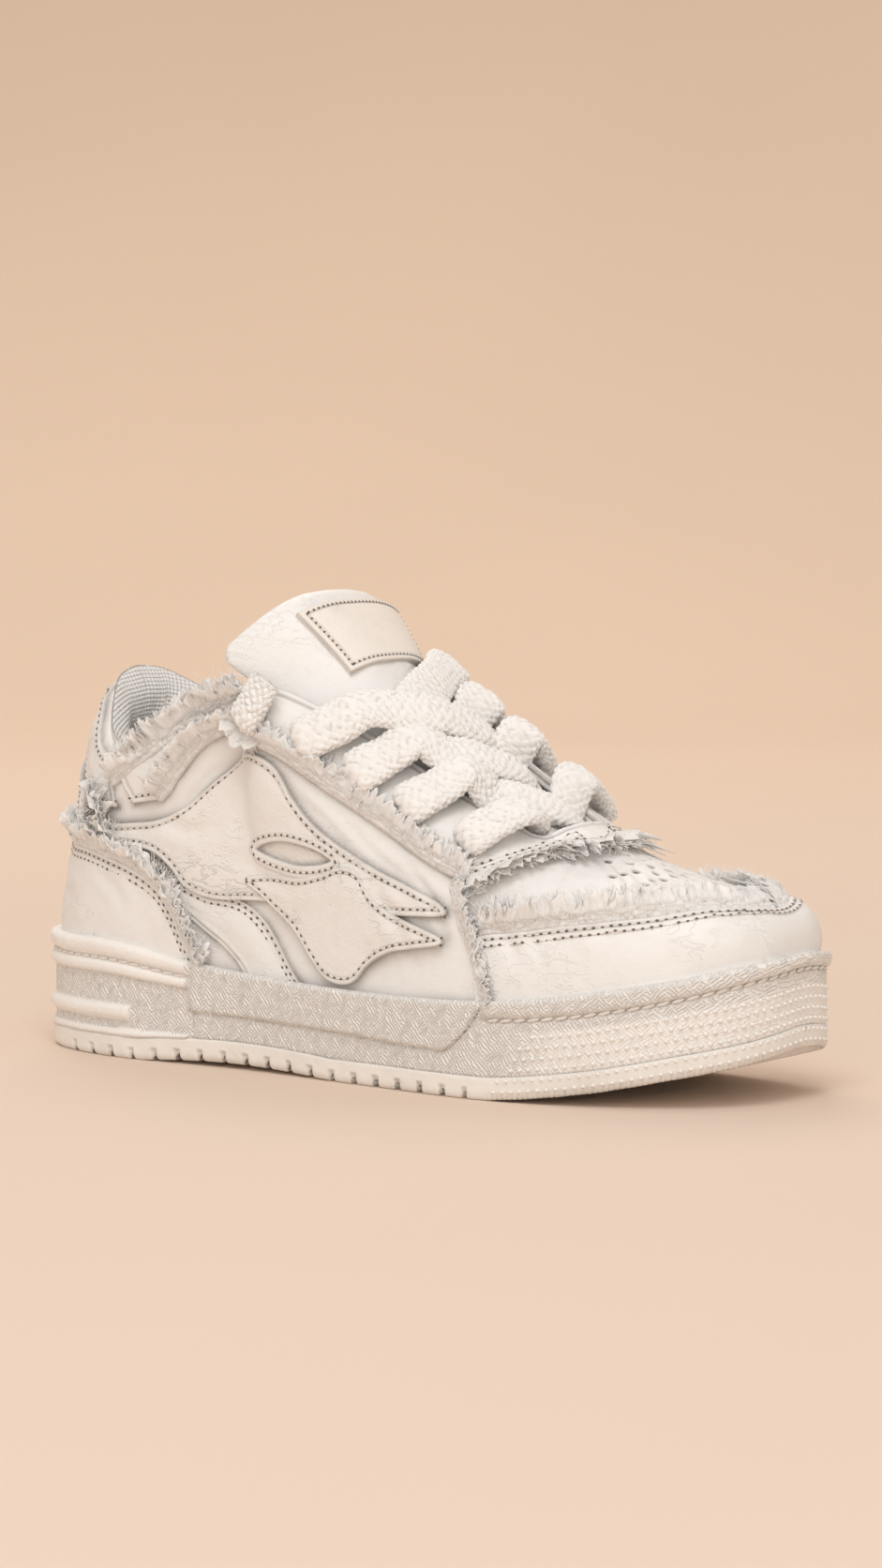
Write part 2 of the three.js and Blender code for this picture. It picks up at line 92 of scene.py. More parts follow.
world = bpy.data.worlds.new("studio")
bpy.context.scene.world = world
world.use_nodes = True
nodes, links = world.node_tree.nodes, world.node_tree.links
nodes.clear()
backdrop, fill = nodes.new("ShaderNodeBackground"), nodes.new("ShaderNodeBackground")
backdrop.inputs["Color"].default_value = (0.80, 0.63, 0.50, 1)
fill.inputs["Color"].default_value = (1.0, 0.93, 0.865, 1)
fill.inputs["Strength"].default_value = 0.62
path = nodes.new("ShaderNodeLightPath")
mix, out = nodes.new("ShaderNodeMixShader"), nodes.new("ShaderNodeOutputWorld")
links.new(path.outputs["Is Camera Ray"], mix.inputs[0])
links.new(fill.outputs[0], mix.inputs[1])
links.new(backdrop.outputs[0], mix.inputs[2])
links.new(mix.outputs[0], out.inputs["Surface"])
print("3 lamps and a warm world")

# %% [markdown]
# ## The last as functions
# A last is the solid foot that a shoe is built on. It could be sculpted, but a sculpted form
# can't be measured along. Here it is described by a few control values along the foot: half
# widths, the rim of the cup, the free top line and how the wall leans. One smooth curve tool
# reads them all, so every panel, seam and crease below can be laid on the same surface.
#
# u runs from the heel (0) to the tip of the toe (1). Two lists are given where the outer and
# the inner side of the foot differ.

# %% Driving dimensions, in millimetres
LENGTH, TIP_SHIFT, END_ROUND, TREAD, RIM_WALL, SKIN = 268.0, -9.0, 0.6, 7.0, 4.0, 1.8
U_MM, V_MM = 380, 76  # about how long a step of 1 in u and in v is on the skin
OUT_U = [0, 0.12, 0.25, 0.4, 0.52, 0.64, 0.76, 0.88, 1]
OUT_X = ([42, 43.5, 43, 37, 42.5, 51.5, 52.5, 52, 49], [42, 43, 38, 34.5, 38.5, 46.5, 50, 50, 49])
FLOOR_U = [0, 0.1, 0.29, 0.32, 0.46, 0.49, 0.64, 0.72, 0.82, 0.92, 1]
FLOOR_Z = [2, 0, 0, 0.8, 0.8, 0, 0, 3.2, 8.7, 12.7, 15.5]
RIM_U = [0, 0.15, 0.28, 0.33, 0.5, 0.65, 0.78, 0.9, 1]
RIM_Z = [37.5, 37, 36, 33, 28.5, 30, 36, 41.5, 44]
BED_U, BED_Z = [0, 0.3, 0.5, 0.65, 0.8, 1], [21, 19.5, 16.5, 14.5, 19, 28]
TOP_U = [0, 0.06, 0.12, 0.17, 0.22, 0.27, 0.33, 0.38, 0.42, 0.46, 0.5, 0.58, 0.66, 0.76, 0.88, 1]
TOP_Y = [-110, -108.5, -103, -95, -85, -73.5, -60.5, -46, -31.5, -18, -5, 22, 50, 71, 91, 106]
TOP_Z = ([118.5, 114, 101, 96, 96.3, 101.5, 109.5, 116, 118, 112.5, 105, 90, 77, 70, 64, 59],
         [118.5, 117, 112, 107, 104, 106, 113, 119.5, 123, 119, 112, 97, 80, 70.5, 64, 59])
TOP_X = ([30, 34, 40.5, 41, 40, 38, 36, 35, 32.5, 27.5, 22.5, 18.5, 17.5, 15.5, 12.5, 9],
         [30, 34, 40, 40, 38.5, 37, 36, 35.5, 33.5, 29.5, 25.5, 21, 18.5, 15.5, 12.5, 9])
WALL_U = [0, 0.12, 0.27, 0.42, 0.5, 0.66, 0.76, 0.88, 1]
WALL_LEAN = [8, 8, 8, 8, 8, 4, 2, 0, -2]
WALL_TOP = [62, 64, 74, 66, 50, 27, 22, 18, 15]
WALL_LOW = [0.42, 0.42, 0.4, 0.42, 0.45, 0.5, 0.52, 0.55, 0.6]
WALL_HIGH = [0.35, 0.35, 0.35, 0.33, 0.4, 0.48, 0.52, 0.55, 0.6]
TONGUE_B = [0, 0.2, 0.4, 0.6, 0.75, 0.88, 1]
TONGUE = {"y": [66, 48, 30, 12, -3, -15, -30], "z": [61.5, 72.5, 84, 99, 115, 129.5, 145],
          "lateral": [3, 8, 11, 14, 16, 18, 21], "medial": [3, 7, 9, 10.5, 11, 11, 12],
          "half": [14, 17, 20, 23, 25.5, 28, 34], "thick": [3, 4.5, 6, 8, 9, 9.5, 9]}
OUTWARD, SLOPE = array([0, 0.704, 0.71]), array([0, -0.71, 0.704])
EYELET_U, EYELET_T = [0.616, 0.557, 0.506, 0.457, 0.417], [0.74, 0.785, 0.82, 0.85, 0.867]
print("a shoe", LENGTH, "mm long with", len(EYELET_U), "eyelets on each side")

# %% One smooth curve through control values
def curve(knots, values, x):
    """Cubic pieces through the values; the slope at a knot is the mean of its neighbours' slopes,
    weighted by the other side's width."""
    k, v, x = (np.asarray(a, float) for a in (knots, values, x))
    wide = np.diff(k)
    slope = np.diff(v) / wide
    m = concatenate([slope[:1], (slope[:-1] * wide[1:] + slope[1:] * wide[:-1])
                        / (wide[:-1] + wide[1:]), slope[-1:]])
    i = clip(np.searchsorted(k, x, side="right") - 1, 0, len(k) - 2)
    h = wide[i]
    t = clip((x - k[i]) / h, 0, 1)
    return ((2 * t**3 - 3 * t**2 + 1) * v[i] + (t**3 - 2 * t**2 + t) * h * m[i]
            + (3 * t**2 - 2 * t**3) * v[i + 1] + (t**3 - t**2) * h * m[i + 1])


def alike(*parts):
    """Arrays of numbers, all stretched to one shape."""
    return np.broadcast_arrays(*(np.asarray(part, float) for part in parts))


def span(v):
    """Lengths of vectors."""
    return np.linalg.norm(v, axis=-1)


def stack(*parts):
    """Joins x, y and z arrays of any matching shapes into points."""
    return np.stack(np.broadcast_arrays(*parts), -1)


def unit(v):
    """Vectors brought to length one."""
    return v / maximum(np.linalg.norm(v, axis=-1, keepdims=True), 1e-9)


def smooth(low, high, x):
    """0 below low, 1 above high, and an S curve between."""
    t = clip((x - low) / (high - low), 0, 1)
    return t * t * (3 - 2 * t)


print("rim at the ankle:", curve(RIM_U, RIM_Z, 0.5).round(1), "mm")

# %% Outline, rim, floor and top line
def by_side(pair, knots, u, side):
    """The lateral list where side is positive, the medial one elsewhere."""
    return np.where(side > 0, curve(knots, pair[0], u), curve(knots, pair[1], u))


def centre(u):
    """The middle line swings to the inner side towards the tip."""
    return TIP_SHIFT * curve([0, 0.5, 0.75, 1], [0, 0, 0.35, 1], u)


def closing(u):
    """Closes the outline at heel and toe: a sine raised to a power under one is blunt."""
    return maximum(sin(pi * clip(u, 0, 1)), 0) ** END_ROUND


def floor_z(u):
    """Height of the tread's underside: flat at heel and ball, turned up at the toe."""
    return maximum(curve(FLOOR_U, FLOOR_Z, u), 0)


def rim_z(u):
    """Height of the cup's rim."""
    return curve(RIM_U, RIM_Z, u)


def bed_z(u):
    """Height of the footbed inside the cup."""
    return curve(BED_U, BED_Z, u)


def outline(u, side, inset, z):
    """Half width times closing gives x; a cosine along the foot gives y."""
    half = by_side(OUT_X, OUT_U, u, side) - inset
    return stack(centre(u) + side * half * closing(u),
                 -(LENGTH / 2 - inset) * cos(pi * u), z)


def top_line(u, side):
    """Upper edge of the wall: its half width, way along the foot and height are read from
    their lists."""
    return stack(centre(u) / 2 + side * by_side(TOP_X, TOP_U, u, side) * closing(u),
                 curve(TOP_U, TOP_Y, u), by_side(TOP_Z, TOP_U, u, side))


print("half width at the ball:", curve(OUT_U, OUT_X[0], 0.7), "mm")

# %% The wall, the ridge and the whole skin
def wall(u, t, side):
    """A cubic Bezier from the cup rim (t 0) to the top line (t 1): it leaves the sole nearly
    upright and arrives at the top with the slope of the instep."""
    u, t, side = alike(u, t, side)
    foot, top = outline(u, side, RIM_WALL, rim_z(u) - 2), top_line(u, side)
    chord = np.linalg.norm(top - foot, axis=-1, keepdims=True)
    inward = unit((top - foot) * [1, 1, 0])

    def handle(degrees, share):
        a = np.radians(degrees)[..., None]
        aim = inward * cos(a) + array([0, 0, 1]) * sin(a)
        return aim * chord * curve(WALL_U, share, u)[..., None]

    low = foot + handle(90 - curve(WALL_U, WALL_LEAN, u), WALL_LOW)
    high = top - handle(curve(WALL_U, WALL_TOP, u), WALL_HIGH)
    t = t[..., None]
    s = 1 - t
    return s**3 * foot + 3 * s * s * t * low + 3 * s * t * t * high + t**3 * top


def ridge(u, s):
    """The crowned strip between the two top lines, a parabola across."""
    a, b = top_line(u, np.ones_like(u)), top_line(u, -np.ones_like(u))
    rise = (span(a - b) / 4 * np.tan(np.radians(curve(WALL_U, WALL_TOP, u)))
            * (1 - s * s) * curve([0.6, 1], [0.8, 0.6], u))
    return b + (a - b) * ((s + 1) / 2)[..., None] + stack(0 * rise, 0 * rise, rise)


def skin(u, v):
    """The whole upper as one surface. v runs 0 to 1 up the outer wall, 1 to 2 across the ridge,
    2 to 3 down the inner wall."""
    u, v = alike(u, v)
    side = np.where(v <= 1.5, 1.0, -1.0)
    on_wall = wall(u, np.where(v <= 1.5, v, 3 - v), side)
    across = ((v > 1) & (v < 2) & (u > 0.6))[..., None]
    return np.where(across, ridge(u, 3 - 2 * v), on_wall)


def tongue_front(b, s):
    """Front of the tongue: b from its foot to its tip, s across; the sides drop back."""
    b, s = alike(b, s)
    get = lambda name: curve(TONGUE_B, TONGUE[name], b)
    drop = np.where(s > 0, get("lateral"), get("medial")) * np.abs(s) ** 2.8
    flare = np.where(s < 0, 1 + 0.22 * smooth(0.7, 0.95, b), 1)
    return stack(get("half") * flare * s, get("y"), get("z")) - OUTWARD * drop[..., None]


STEP = 0.003


def normal_of(place, a, b):
    """Outward normal of a surface, from small steps along its two parameters."""
    a, b = alike(a, b)
    da = place(clip(a + STEP, 0, 1), b) - place(clip(a - STEP, 0, 1), b)
    db = place(a, b + STEP) - place(a, b - STEP)
    return unit(np.cross(da, db))


print("instep height:", skin(0.5, 1.0).round(1))

# %% [markdown]
# ## From numbers to meshes
# A piece here is a grid of points from two parameters. A sheet of leather is such a grid with a
# coarser copy beneath it; the two are joined round the border, so the piece is closed and its
# faces all look outward. A Solidify modifier could thicken the sheet too, but it would give the
# hidden side as many faces as the visible one. Whole arrays are written to the mesh at once,
# which is far quicker than adding faces one by one.

# %% Grids, closed slabs and pieces
def grid(rows, cols, first=0, turned=False):
    """Four-sided faces of a grid of rows x cols points numbered row after row."""
    i = arange(rows * cols).reshape(rows, cols) + first
    quads = np.stack([i[:-1, :-1], i[1:, :-1], i[1:, 1:], i[:-1, 1:]], -1).reshape(-1, 4)
    return quads[:, ::-1] if turned else quads


def slab(outer, under):
    """Joins an outer grid to an under grid with as many rows: strips along the two long sides
    and one many-sided face at each end."""
    n, m, k = outer.shape[0], outer.shape[1], under.shape[1]
    o = arange(n * m).reshape(n, m)
    b = arange(n * k).reshape(n, k) + n * m
    near = np.stack([o[1:, 0], o[:-1, 0], b[:-1, 0], b[1:, 0]], -1)
    far = np.stack([o[:-1, -1], o[1:, -1], b[1:, -1], b[:-1, -1]], -1)
    ends = [concatenate([o[0], b[0, ::-1]])[None],
            concatenate([o[-1, ::-1], b[-1]])[None]]
    points = concatenate([outer.reshape(-1, 3), under.reshape(-1, 3)])
    return points, [grid(n, m), grid(n, k, n * m, True), near, far] + ends


def sheet_of(outer, under, dark, hidden):
    """A slab with its darkness: `dark` on the outside and one value on the hidden side."""
    points, faces = slab(outer, under)
    return points, faces, concatenate([dark.ravel(), np.full(under[..., 0].size, hidden)])


def ring_stack(rings):
    """Closed rings one above the other as one body, with a many-sided lid at both ends."""
    n, m = rings.shape[:2]
    i = arange(n * m).reshape(n, m)
    j = np.roll(i, -1, axis=1)
    sides = np.stack([i[:-1], j[:-1], j[1:], i[1:]], -1).reshape(-1, 4)
    return rings.reshape(-1, 3), [sides, i[0, ::-1][None], i[-1][None]]


def flipped(faces):
    """The same faces looking the other way."""
    return [f[:, ::-1] for f in faces]


def travelled(points, axis):
    """Millimetres covered along one axis of a grid of points, from 0."""
    return np.insert(np.cumsum(span(np.diff(points, axis=axis)), axis), 0, 0, axis)


def faces_in(points, normal):
    """True when a grid, taken rows first and columns second, winds against the normals."""
    cells = np.cross(np.diff(points, axis=0)[:, :-1], np.diff(points, axis=1)[:-1])
    return np.einsum("ijk,ijk->", cells, normal[:-1, :-1]) < 0


sheet = np.zeros((3, 3, 3))
print("a sheet of 3 x 3 points, closed:", sum(map(len, slab(sheet, sheet[:, ::2])[1])), "faces")

# %% A mesh object from whole arrays
def welded(points, loops, sizes):
    """Joins points that coincide: which point each keeps, the corners that stay, and how many
    corners each remaining face has."""
    _, first, index = np.unique(np.round(points, 3), axis=0, return_index=True,
                                return_inverse=True)
    owner = np.repeat(arange(len(sizes)), sizes)
    last = np.cumsum(sizes) - 1
    following = arange(len(loops)) + 1
    following[last] = last - sizes + 1
    new = index.ravel()[loops]
    keep = new != new[following]
    count = np.bincount(owner[keep], minlength=len(sizes))
    keep &= (count >= 3)[owner]
    return first, new[keep], keep, count[count >= 3]


def piece(name, points, faces, material, takes=(), slot="upper_leather", uv=None, weld=False,
          **values):
    """Writes a mesh from arrays. `values` are numbers kept on the points for the material;
    `weld` joins points that coincide and drops the faces that vanish."""
    loops = concatenate([f.ravel() for f in faces])
    sizes = concatenate([np.full(len(f), f.shape[1]) for f in faces])
    corner_uv = None if uv is None else uv[loops]
    values = {key: np.broadcast_to(v, (len(points),)) for key, v in values.items()}
    if weld:
        first, loops, keep, sizes = welded(points, loops, sizes)
        corner_uv = None if uv is None else corner_uv[keep]
        points, values = points[first], {key: v[first] for key, v in values.items()}
    mesh = bpy.data.meshes.new(name)
    mesh.vertices.add(len(points))
    mesh.vertices.foreach_set("co", (points * MM).astype(np.float32).ravel())
    mesh.loops.add(len(loops))
    mesh.loops.foreach_set("vertex_index", loops.astype(np.int32))
    mesh.polygons.add(len(sizes))
    mesh.polygons.foreach_set("loop_start", (np.cumsum(sizes) - sizes).astype(np.int32))
    mesh.polygons.foreach_set("use_smooth", np.ones(len(sizes), bool))
    mesh.update(calc_edges=True)
    if uv is not None:
        mesh.uv_layers.new(name="UVMap").data.foreach_set(
            "uv", corner_uv.astype(np.float32).ravel())
    for key, v in values.items():
        kept = mesh.attributes.new(key, "FLOAT", "POINT")
        kept.data.foreach_set("value", v.astype(np.float32))
    mesh.materials.append(material)
    made = bpy.data.objects.new(name, mesh)
    bpy.context.scene.collection.objects.link(made)
    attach(made, "root")
    if takes:
        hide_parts(*takes)
    print(name, len(points), "points", int((sizes - 2).sum()), "triangles")
    return made

# %% Noise and even steps
LATTICE = 97


def noise(a, b, seed):
    """Random heights from -1 to 1 on a square lattice, joined by S curves."""
    table = np.random.default_rng(seed).uniform(-1, 1, (LATTICE, LATTICE))
    a, b = np.broadcast_arrays(a, b)
    i, j = np.floor(a).astype(int), np.floor(b).astype(int)
    x, y = smooth(0, 1, a - i), smooth(0, 1, b - j)
    at = lambda p, q: table[p % LATTICE, q % LATTICE]
    return ((1 - x) * (1 - y) * at(i, j) + x * (1 - y) * at(i + 1, j)
            + (1 - x) * y * at(i, j + 1) + x * y * at(i + 1, j + 1))


def lengths(line):
    """Distance travelled along a line of points."""
    return travelled(line, 0)


def resample(line, step, *others):
    """The line, and anything known at its points, at even steps."""
    s = lengths(line)
    at = linspace(0, s[-1], max(int(round(s[-1] / step)), 2) + 1)
    pick = lambda data: np.stack([np.interp(at, s, data[:, k]) for k in range(data.shape[1])], -1)
    return [pick(line)] + [pick(o) for o in others]


print("noise at one place:", noise(array(0.5), array(0.5), 1).round(2))

# %% [markdown]
# ## Materials
# Old leather is never one colour: it has a grain, fine wrinkles that hold dust, rubbed patches
# and dark lines along its seams, which are dust and painted shade, as are the dark grooves,
# holes and gaps further on. All of it could be painted on images, but then every piece would
# need its own picture. Here each effect that materials share is a node group that puts out
# plain numbers: a height for the bump, a mask for the grime and the painted shade. The shaders
# stay in the materials, where their settings are easy to find.

# %% Node tools
def put(tree, kind, into=None, **settings):
    """Adds a shader node; `into` gives each input a value or the socket that feeds it."""
    made = tree.nodes.new("ShaderNode" + kind)
    for key, value in settings.items():
        setattr(made, key, value)
    for key, value in (into or {}).items():
        if isinstance(value, bpy.types.NodeSocket):
            tree.links.new(value, made.inputs[key])
        else:
            made.inputs[key].default_value = value
    return made


def sums(tree, operation, *terms):
    """One maths node; each term is a number or the socket that feeds it."""
    made = put(tree, "Math", operation=operation)
    for i, term in enumerate(terms):
        if isinstance(term, bpy.types.NodeSocket):
            tree.links.new(term, made.inputs[i])
        else:
            made.inputs[i].default_value = term
    return made.outputs[0]


def plus(tree, *terms):
    """The terms added up."""
    return sums(tree, "ADD", *terms)


def times(tree, *terms):
    """The terms multiplied."""
    return sums(tree, "MULTIPLY", *terms)


def spread(tree, value, low, high, to_low=0.0, to_high=1.0):
    """A value mapped smoothly from one range to another."""
    return put(tree, "MapRange", {"Value": value, "From Min": low, "From Max": high,
                                  "To Min": to_low, "To Max": to_high},
               interpolation_type="SMOOTHSTEP").outputs[0]


def clouds(tree, place, scale, detail, **more):
    """A noise texture at a place; returns its height."""
    settings = {"Vector": place, "Scale": scale, "Detail": detail}
    settings.update({key.capitalize(): value for key, value in more.items()})
    return put(tree, "TexNoise", settings).outputs[0]


def blend(tree, share, one, other):
    """Two colours mixed by a share from 0 to 1."""
    return put(tree, "Mix", {0: share, 6: one, 7: other}, data_type="RGBA").outputs[2]


def group(name, inputs, outputs):
    """A node group with named sockets; returns its tree, what comes in and what goes out."""
    tree = bpy.data.node_groups.new(name, "ShaderNodeTree")
    for label, kind, value in inputs:
        socket = tree.interface.new_socket(label, in_out="INPUT", socket_type="NodeSocket" + kind)
        if value is not None:
            socket.default_value = value
    for label in outputs:
        tree.interface.new_socket(label, in_out="OUTPUT", socket_type="NodeSocketFloat")
    return tree, tree.nodes.new("NodeGroupInput").outputs, tree.nodes.new("NodeGroupOutput").inputs

# %% [markdown]
# ### Leather grain
# Finished leather shows soft pebbles, fine pores and wrinkles that cross each other. A Voronoi
# texture gives the pebbles and a fine noise the pores. A wrinkle runs where a third noise
# passes through its middle value, and only in some patches, because leather wrinkles where it
# has been bent.

# %% Leather grain: soft pebbles, fine pores and crossing wrinkles
leather_grain, come, go = group("leather_grain",
                                [("Vector", "Vector", None), ("Grain", "Float", 900.0),
                                 ("Wrinkles", "Float", 0.5)], ["Height", "Crackle"])
t = leather_grain
warp = put(t, "TexNoise", {"Vector": come["Vector"], "Scale": 60.0, "Detail": 2.0})
pull = put(t, "VectorMath", {0: warp.outputs["Color"], "Scale": 0.006}, operation="SCALE")
bent = put(t, "VectorMath", {0: come["Vector"], 1: pull.outputs[0]}, operation="ADD").outputs[0]
pebble = put(t, "TexVoronoi", {"Vector": bent, "Scale": come["Grain"]}, feature="SMOOTH_F1")
drawn = put(t, "Mapping", {"Vector": bent, "Scale": (1.0, 0.55, 1.3)}).outputs[0]
folds = clouds(t, drawn, 230.0, 3.0, roughness=0.55, distortion=0.4)
fine = clouds(t, bent, 420.0, 4.0, roughness=0.6)
patches = spread(t, clouds(t, bent, 38.0, 3.0), 0.46, 0.62)
cracks = spread(t, sums(t, "ABSOLUTE", sums(t, "SUBTRACT", folds, 0.5)), 0.0, 0.035)
worn = times(t, times(t, patches, come["Wrinkles"]), sums(t, "SUBTRACT", 1.0, cracks))
height = plus(t, times(t, pebble.outputs["Distance"], -0.22), times(t, fine, 0.35))
t.links.new(sums(t, "SUBTRACT", height, times(t, worn, 0.5)), go["Height"])
t.links.new(worn, go["Crackle"])
print("leather grain:", len(t.nodes), "nodes")

# %% [markdown]
# ### Grime and painted shade
# Dust settles where a cloth can't wipe it away: in seams and in a few specks; the mask also
# grows darker towards the floor. Each piece keeps a number on its points that is 1 in the foot
# of a seam and high in grooves, holes and gaps; it paints dust there together with the shade
# that falls in them, and the group breaks it up with clouds of noise.

# %% Grime and painted shade: dark in seams, grooves and gaps, darker towards the floor, in uneven patches
grime_and_shade, come, go = group("grime_and_shade", [("Vector", "Vector", None), ("Seam", "Float", 0.0),
                                  ("Reach", "Float", 1.0)], ["Dirt", "Scuff"])
t, place = grime_and_shade, come["Vector"]
blotch = clouds(t, place, 55.0, 5.0, roughness=0.65)
speck = clouds(t, place, 620.0, 2.0)
rub = clouds(t, place, 17.0, 6.0, roughness=0.7)
z = put(t, "SeparateXYZ", {0: place}).outputs["Z"]
low = spread(t, z, 0.0, 0.03, 0.3, 0.0)
# The seam mark from the points: dust in seams, and painted shade in grooves, holes and gaps.
seam = times(t, come["Seam"], spread(t, blotch, 0.3, 0.62, 0.45, 1.0))
spots = times(t, spread(t, speck, 0.66, 0.74), spread(t, blotch, 0.5, 0.62))
patch = times(t, spread(t, rub, 0.52, 0.72), 0.35)
total = plus(t, plus(t, seam, times(t, spots, 0.4)),
             times(t, plus(t, patch, low), spread(t, blotch, 0.4, 0.7)))
t.links.new(sums(t, "MINIMUM", times(t, total, come["Reach"]), 1.0), go["Dirt"])
t.links.new(spread(t, rub, 0.5, 0.7), go["Scuff"])
print("grime:", len(t.nodes), "nodes")

# %% [markdown]
# ### Knit and cut rubber
# Both are crossing waves. The knit is two even waves multiplied, which gives rows of small
# loops; it reads the piece's own millimetres, so the rows follow the roll of the collar. The
# rubber's hatching is two slanting waves, shaken by noise, that take turns from patch to patch.

# %% Knit: rows of small loops read from the piece's own millimetres
TURN = 6.2832
knit, come, go = group("knit", [("Place", "Vector", None), ("Pitch", "Float", 1.6)], ["Height"])
t = knit
wavy = []
for turn in (0.9, -0.9):
    spun = put(t, "VectorRotate", {"Vector": come["Place"], "Angle": turn},
               rotation_type="Z_AXIS")
    x = put(t, "SeparateXYZ", {0: spun.outputs[0]}).outputs["X"]
    wavy.append(sums(t, "SINE", sums(t, "DIVIDE", times(t, x, TURN), come["Pitch"])))
t.links.new(times(t, *wavy), go["Height"])
print("knit:", len(t.nodes), "nodes")

# %% Cut rubber: crossing scratches left by the mould
rubber_cuts, come, go = group("rubber_cuts", [("Vector", "Vector", None),
                                              ("Pitch", "Float", 0.0016)], ["Height"])
t, place = rubber_cuts, come["Vector"]
shift = times(t, clouds(t, place, 240.0, 3.0), 14.0)
parts = put(t, "SeparateXYZ", {0: place}).outputs
lines = []
for slope in (0.85, -1.1):
    run = plus(t, parts["Y"], times(t, parts["Z"], slope))
    angle = plus(t, sums(t, "DIVIDE", times(t, run, TURN), come["Pitch"]), shift)
    lines.append(sums(t, "SINE", angle))
choice = spread(t, clouds(t, place, 420.0, 2.0), 0.44, 0.56)
cut = put(t, "Mix", {0: choice, 2: lines[0], 3: lines[1]}, data_type="FLOAT")
t.links.new(cut.outputs[0], go["Height"])
print("node groups:", [g.name for g in bpy.data.node_groups])

# %% [markdown]
# ### One recipe for every material
# Leather, rubber and cotton are built alike: a base colour, a second tone in the rubbed
# patches, dirt and painted shade where the grime group says so, and a bump from a height.
# Only the numbers differ, so one function is easier to keep right than thirteen node trees.

# %% Build one material from a base colour, a colour of dirt and painted shade, and a height
def material(name, base, dirt_and_shade, rough=0.6, height=None, bump=0.0002, reach=1.0, sheen=0.0,
             coat=0.0, tint=None, subsurface=0.0, reads_seam=True, crack_dust_and_shade=0.1):
    """Principled leather, rubber or cotton. `height(tree, place)` returns the bump's socket and
    a mask of cracks; `seam` is a number kept on the points, 1 in the foot of a seam and high in
    grooves, holes and gaps where shade is painted. The second colour stands for dirt and painted
    shade."""
    made = bpy.data.materials.new(name)
    made.use_nodes = True
    tree = made.node_tree
    tree.nodes.clear()
    place = put(tree, "TexCoord").outputs["Object"]
    grime_and_shade_node = put(tree, "Group", {"Vector": place, "Reach": reach}, node_tree=grime_and_shade)
    if reads_seam:
        seam = put(tree, "Attribute", attribute_name="seam").outputs["Fac"]
        tree.links.new(seam, grime_and_shade_node.inputs["Seam"])
    socket, cracks = height(tree, place) if height else (None, None)
    mask = grime_and_shade_node.outputs["Dirt"]
    if cracks is not None:
        mask = sums(tree, "MAXIMUM", mask, times(tree, cracks, crack_dust_and_shade))
    colour = blend(tree, grime_and_shade_node.outputs["Scuff"], (*base, 1), (*(tint or base), 1))
    # Mixes in the colour of dirt and painted shade where the mask is high.
    colour = blend(tree, mask, colour, (*dirt_and_shade, 1))
    shader = put(tree, "BsdfPrincipled",
                 {"Base Color": colour, "Roughness": rough, "Sheen Weight": sheen,
                  "Coat Weight": coat, "Coat Roughness": 0.45, "Subsurface Weight": subsurface,
                  "Subsurface Radius": (1.0, 0.92, 0.84), "Subsurface Scale": 0.003})
    if socket is not None:
        relief = put(tree, "Bump", {"Height": socket, "Strength": 1.0, "Distance": bump})
        tree.links.new(relief.outputs[0], shader.inputs["Normal"])
    put(tree, "OutputMaterial", {"Surface": shader.outputs[0]})
    return made

# %% Heights that a material can be given
def grained(size, wrinkles):
    """Height from the leather grain group."""
    def build(tree, place):
        made = put(tree, "Group", {"Vector": place, "Grain": size, "Wrinkles": wrinkles},
                   node_tree=leather_grain)
        return made.outputs["Height"], made.outputs["Crackle"]
    return build


def knitted(pitch):
    """Height from the knit group, read from the piece's own flat millimetres."""
    def build(tree, place):
        flat = put(tree, "UVMap", uv_map="UVMap").outputs[0]
        made = put(tree, "Group", {"Place": flat, "Pitch": pitch}, node_tree=knit)
        return made.outputs["Height"], None
    return build


def scored(pitch):
    """Height from the rubber group, as strong as the number `cuts` kept on the points; the
    deep side of each wave counts as a crack."""
    def build(tree, place):
        made = put(tree, "Group", {"Vector": place, "Pitch": pitch}, node_tree=rubber_cuts)
        amount = put(tree, "Attribute", attribute_name="cuts").outputs["Fac"]
        deep = spread(tree, made.outputs["Height"], 0.1, -0.9)
        return times(tree, made.outputs["Height"], amount), times(tree, deep, amount)
    return build


def fuzzy(tree, place):
    """Height of loose cotton: noise as fine as a thread."""
    return clouds(tree, place, 1500.0, 3.0), None


def fibrous(tree, place):
    """Height of loose threads lying side by side: noise drawn out along the ribbon's width. The
    low places between threads also come back as a mask for painted shade.
    """
    flat = put(tree, "UVMap", uv_map="UVMap").outputs[0]
    drawn = put(tree, "Mapping", {"Vector": flat, "Scale": (2.4, 0.16, 1.0)}).outputs[0]
    threads = clouds(tree, drawn, 1.0, 3.0, roughness=0.6)
    return threads, spread(tree, threads, 0.52, 0.34)


print("5 kinds of height")

# %% [markdown]
# ### The finishes of this shoe
# A white shoe is made of many whites: grained and smooth leather, the flesh side used for the
# saddle, knit, cotton, thread and rubber. They are kept apart by a few hundredths.

# %% Leathers
# The second colour of the leathers is dust, and painted shade in seams, grooves and eyelets.
LEATHER, DUST_AND_SHADE, RUBBED = (0.862, 0.85, 0.832), (0.38, 0.355, 0.33), (0.87, 0.85, 0.825)
leather = material("worn_leather", LEATHER, DUST_AND_SHADE, 0.52, grained(900.0, 0.6), 0.00035,
                   tint=RUBBED, coat=0.06)
smooth_leather = material("smooth_leather", LEATHER, DUST_AND_SHADE, 0.48, grained(1100.0, 0.6), 0.0003,
                          tint=RUBBED, coat=0.06)
suede = material("flesh_leather", (0.845, 0.82, 0.79), DUST_AND_SHADE, 0.62, grained(1500.0, 0.8), 0.0005,
                 sheen=0.15, crack_dust_and_shade=0.03)
label_leather = material("label_leather", (0.88, 0.825, 0.76), DUST_AND_SHADE, 0.5, grained(1300.0, 0.2),
                         0.0002)
print("4 leathers")

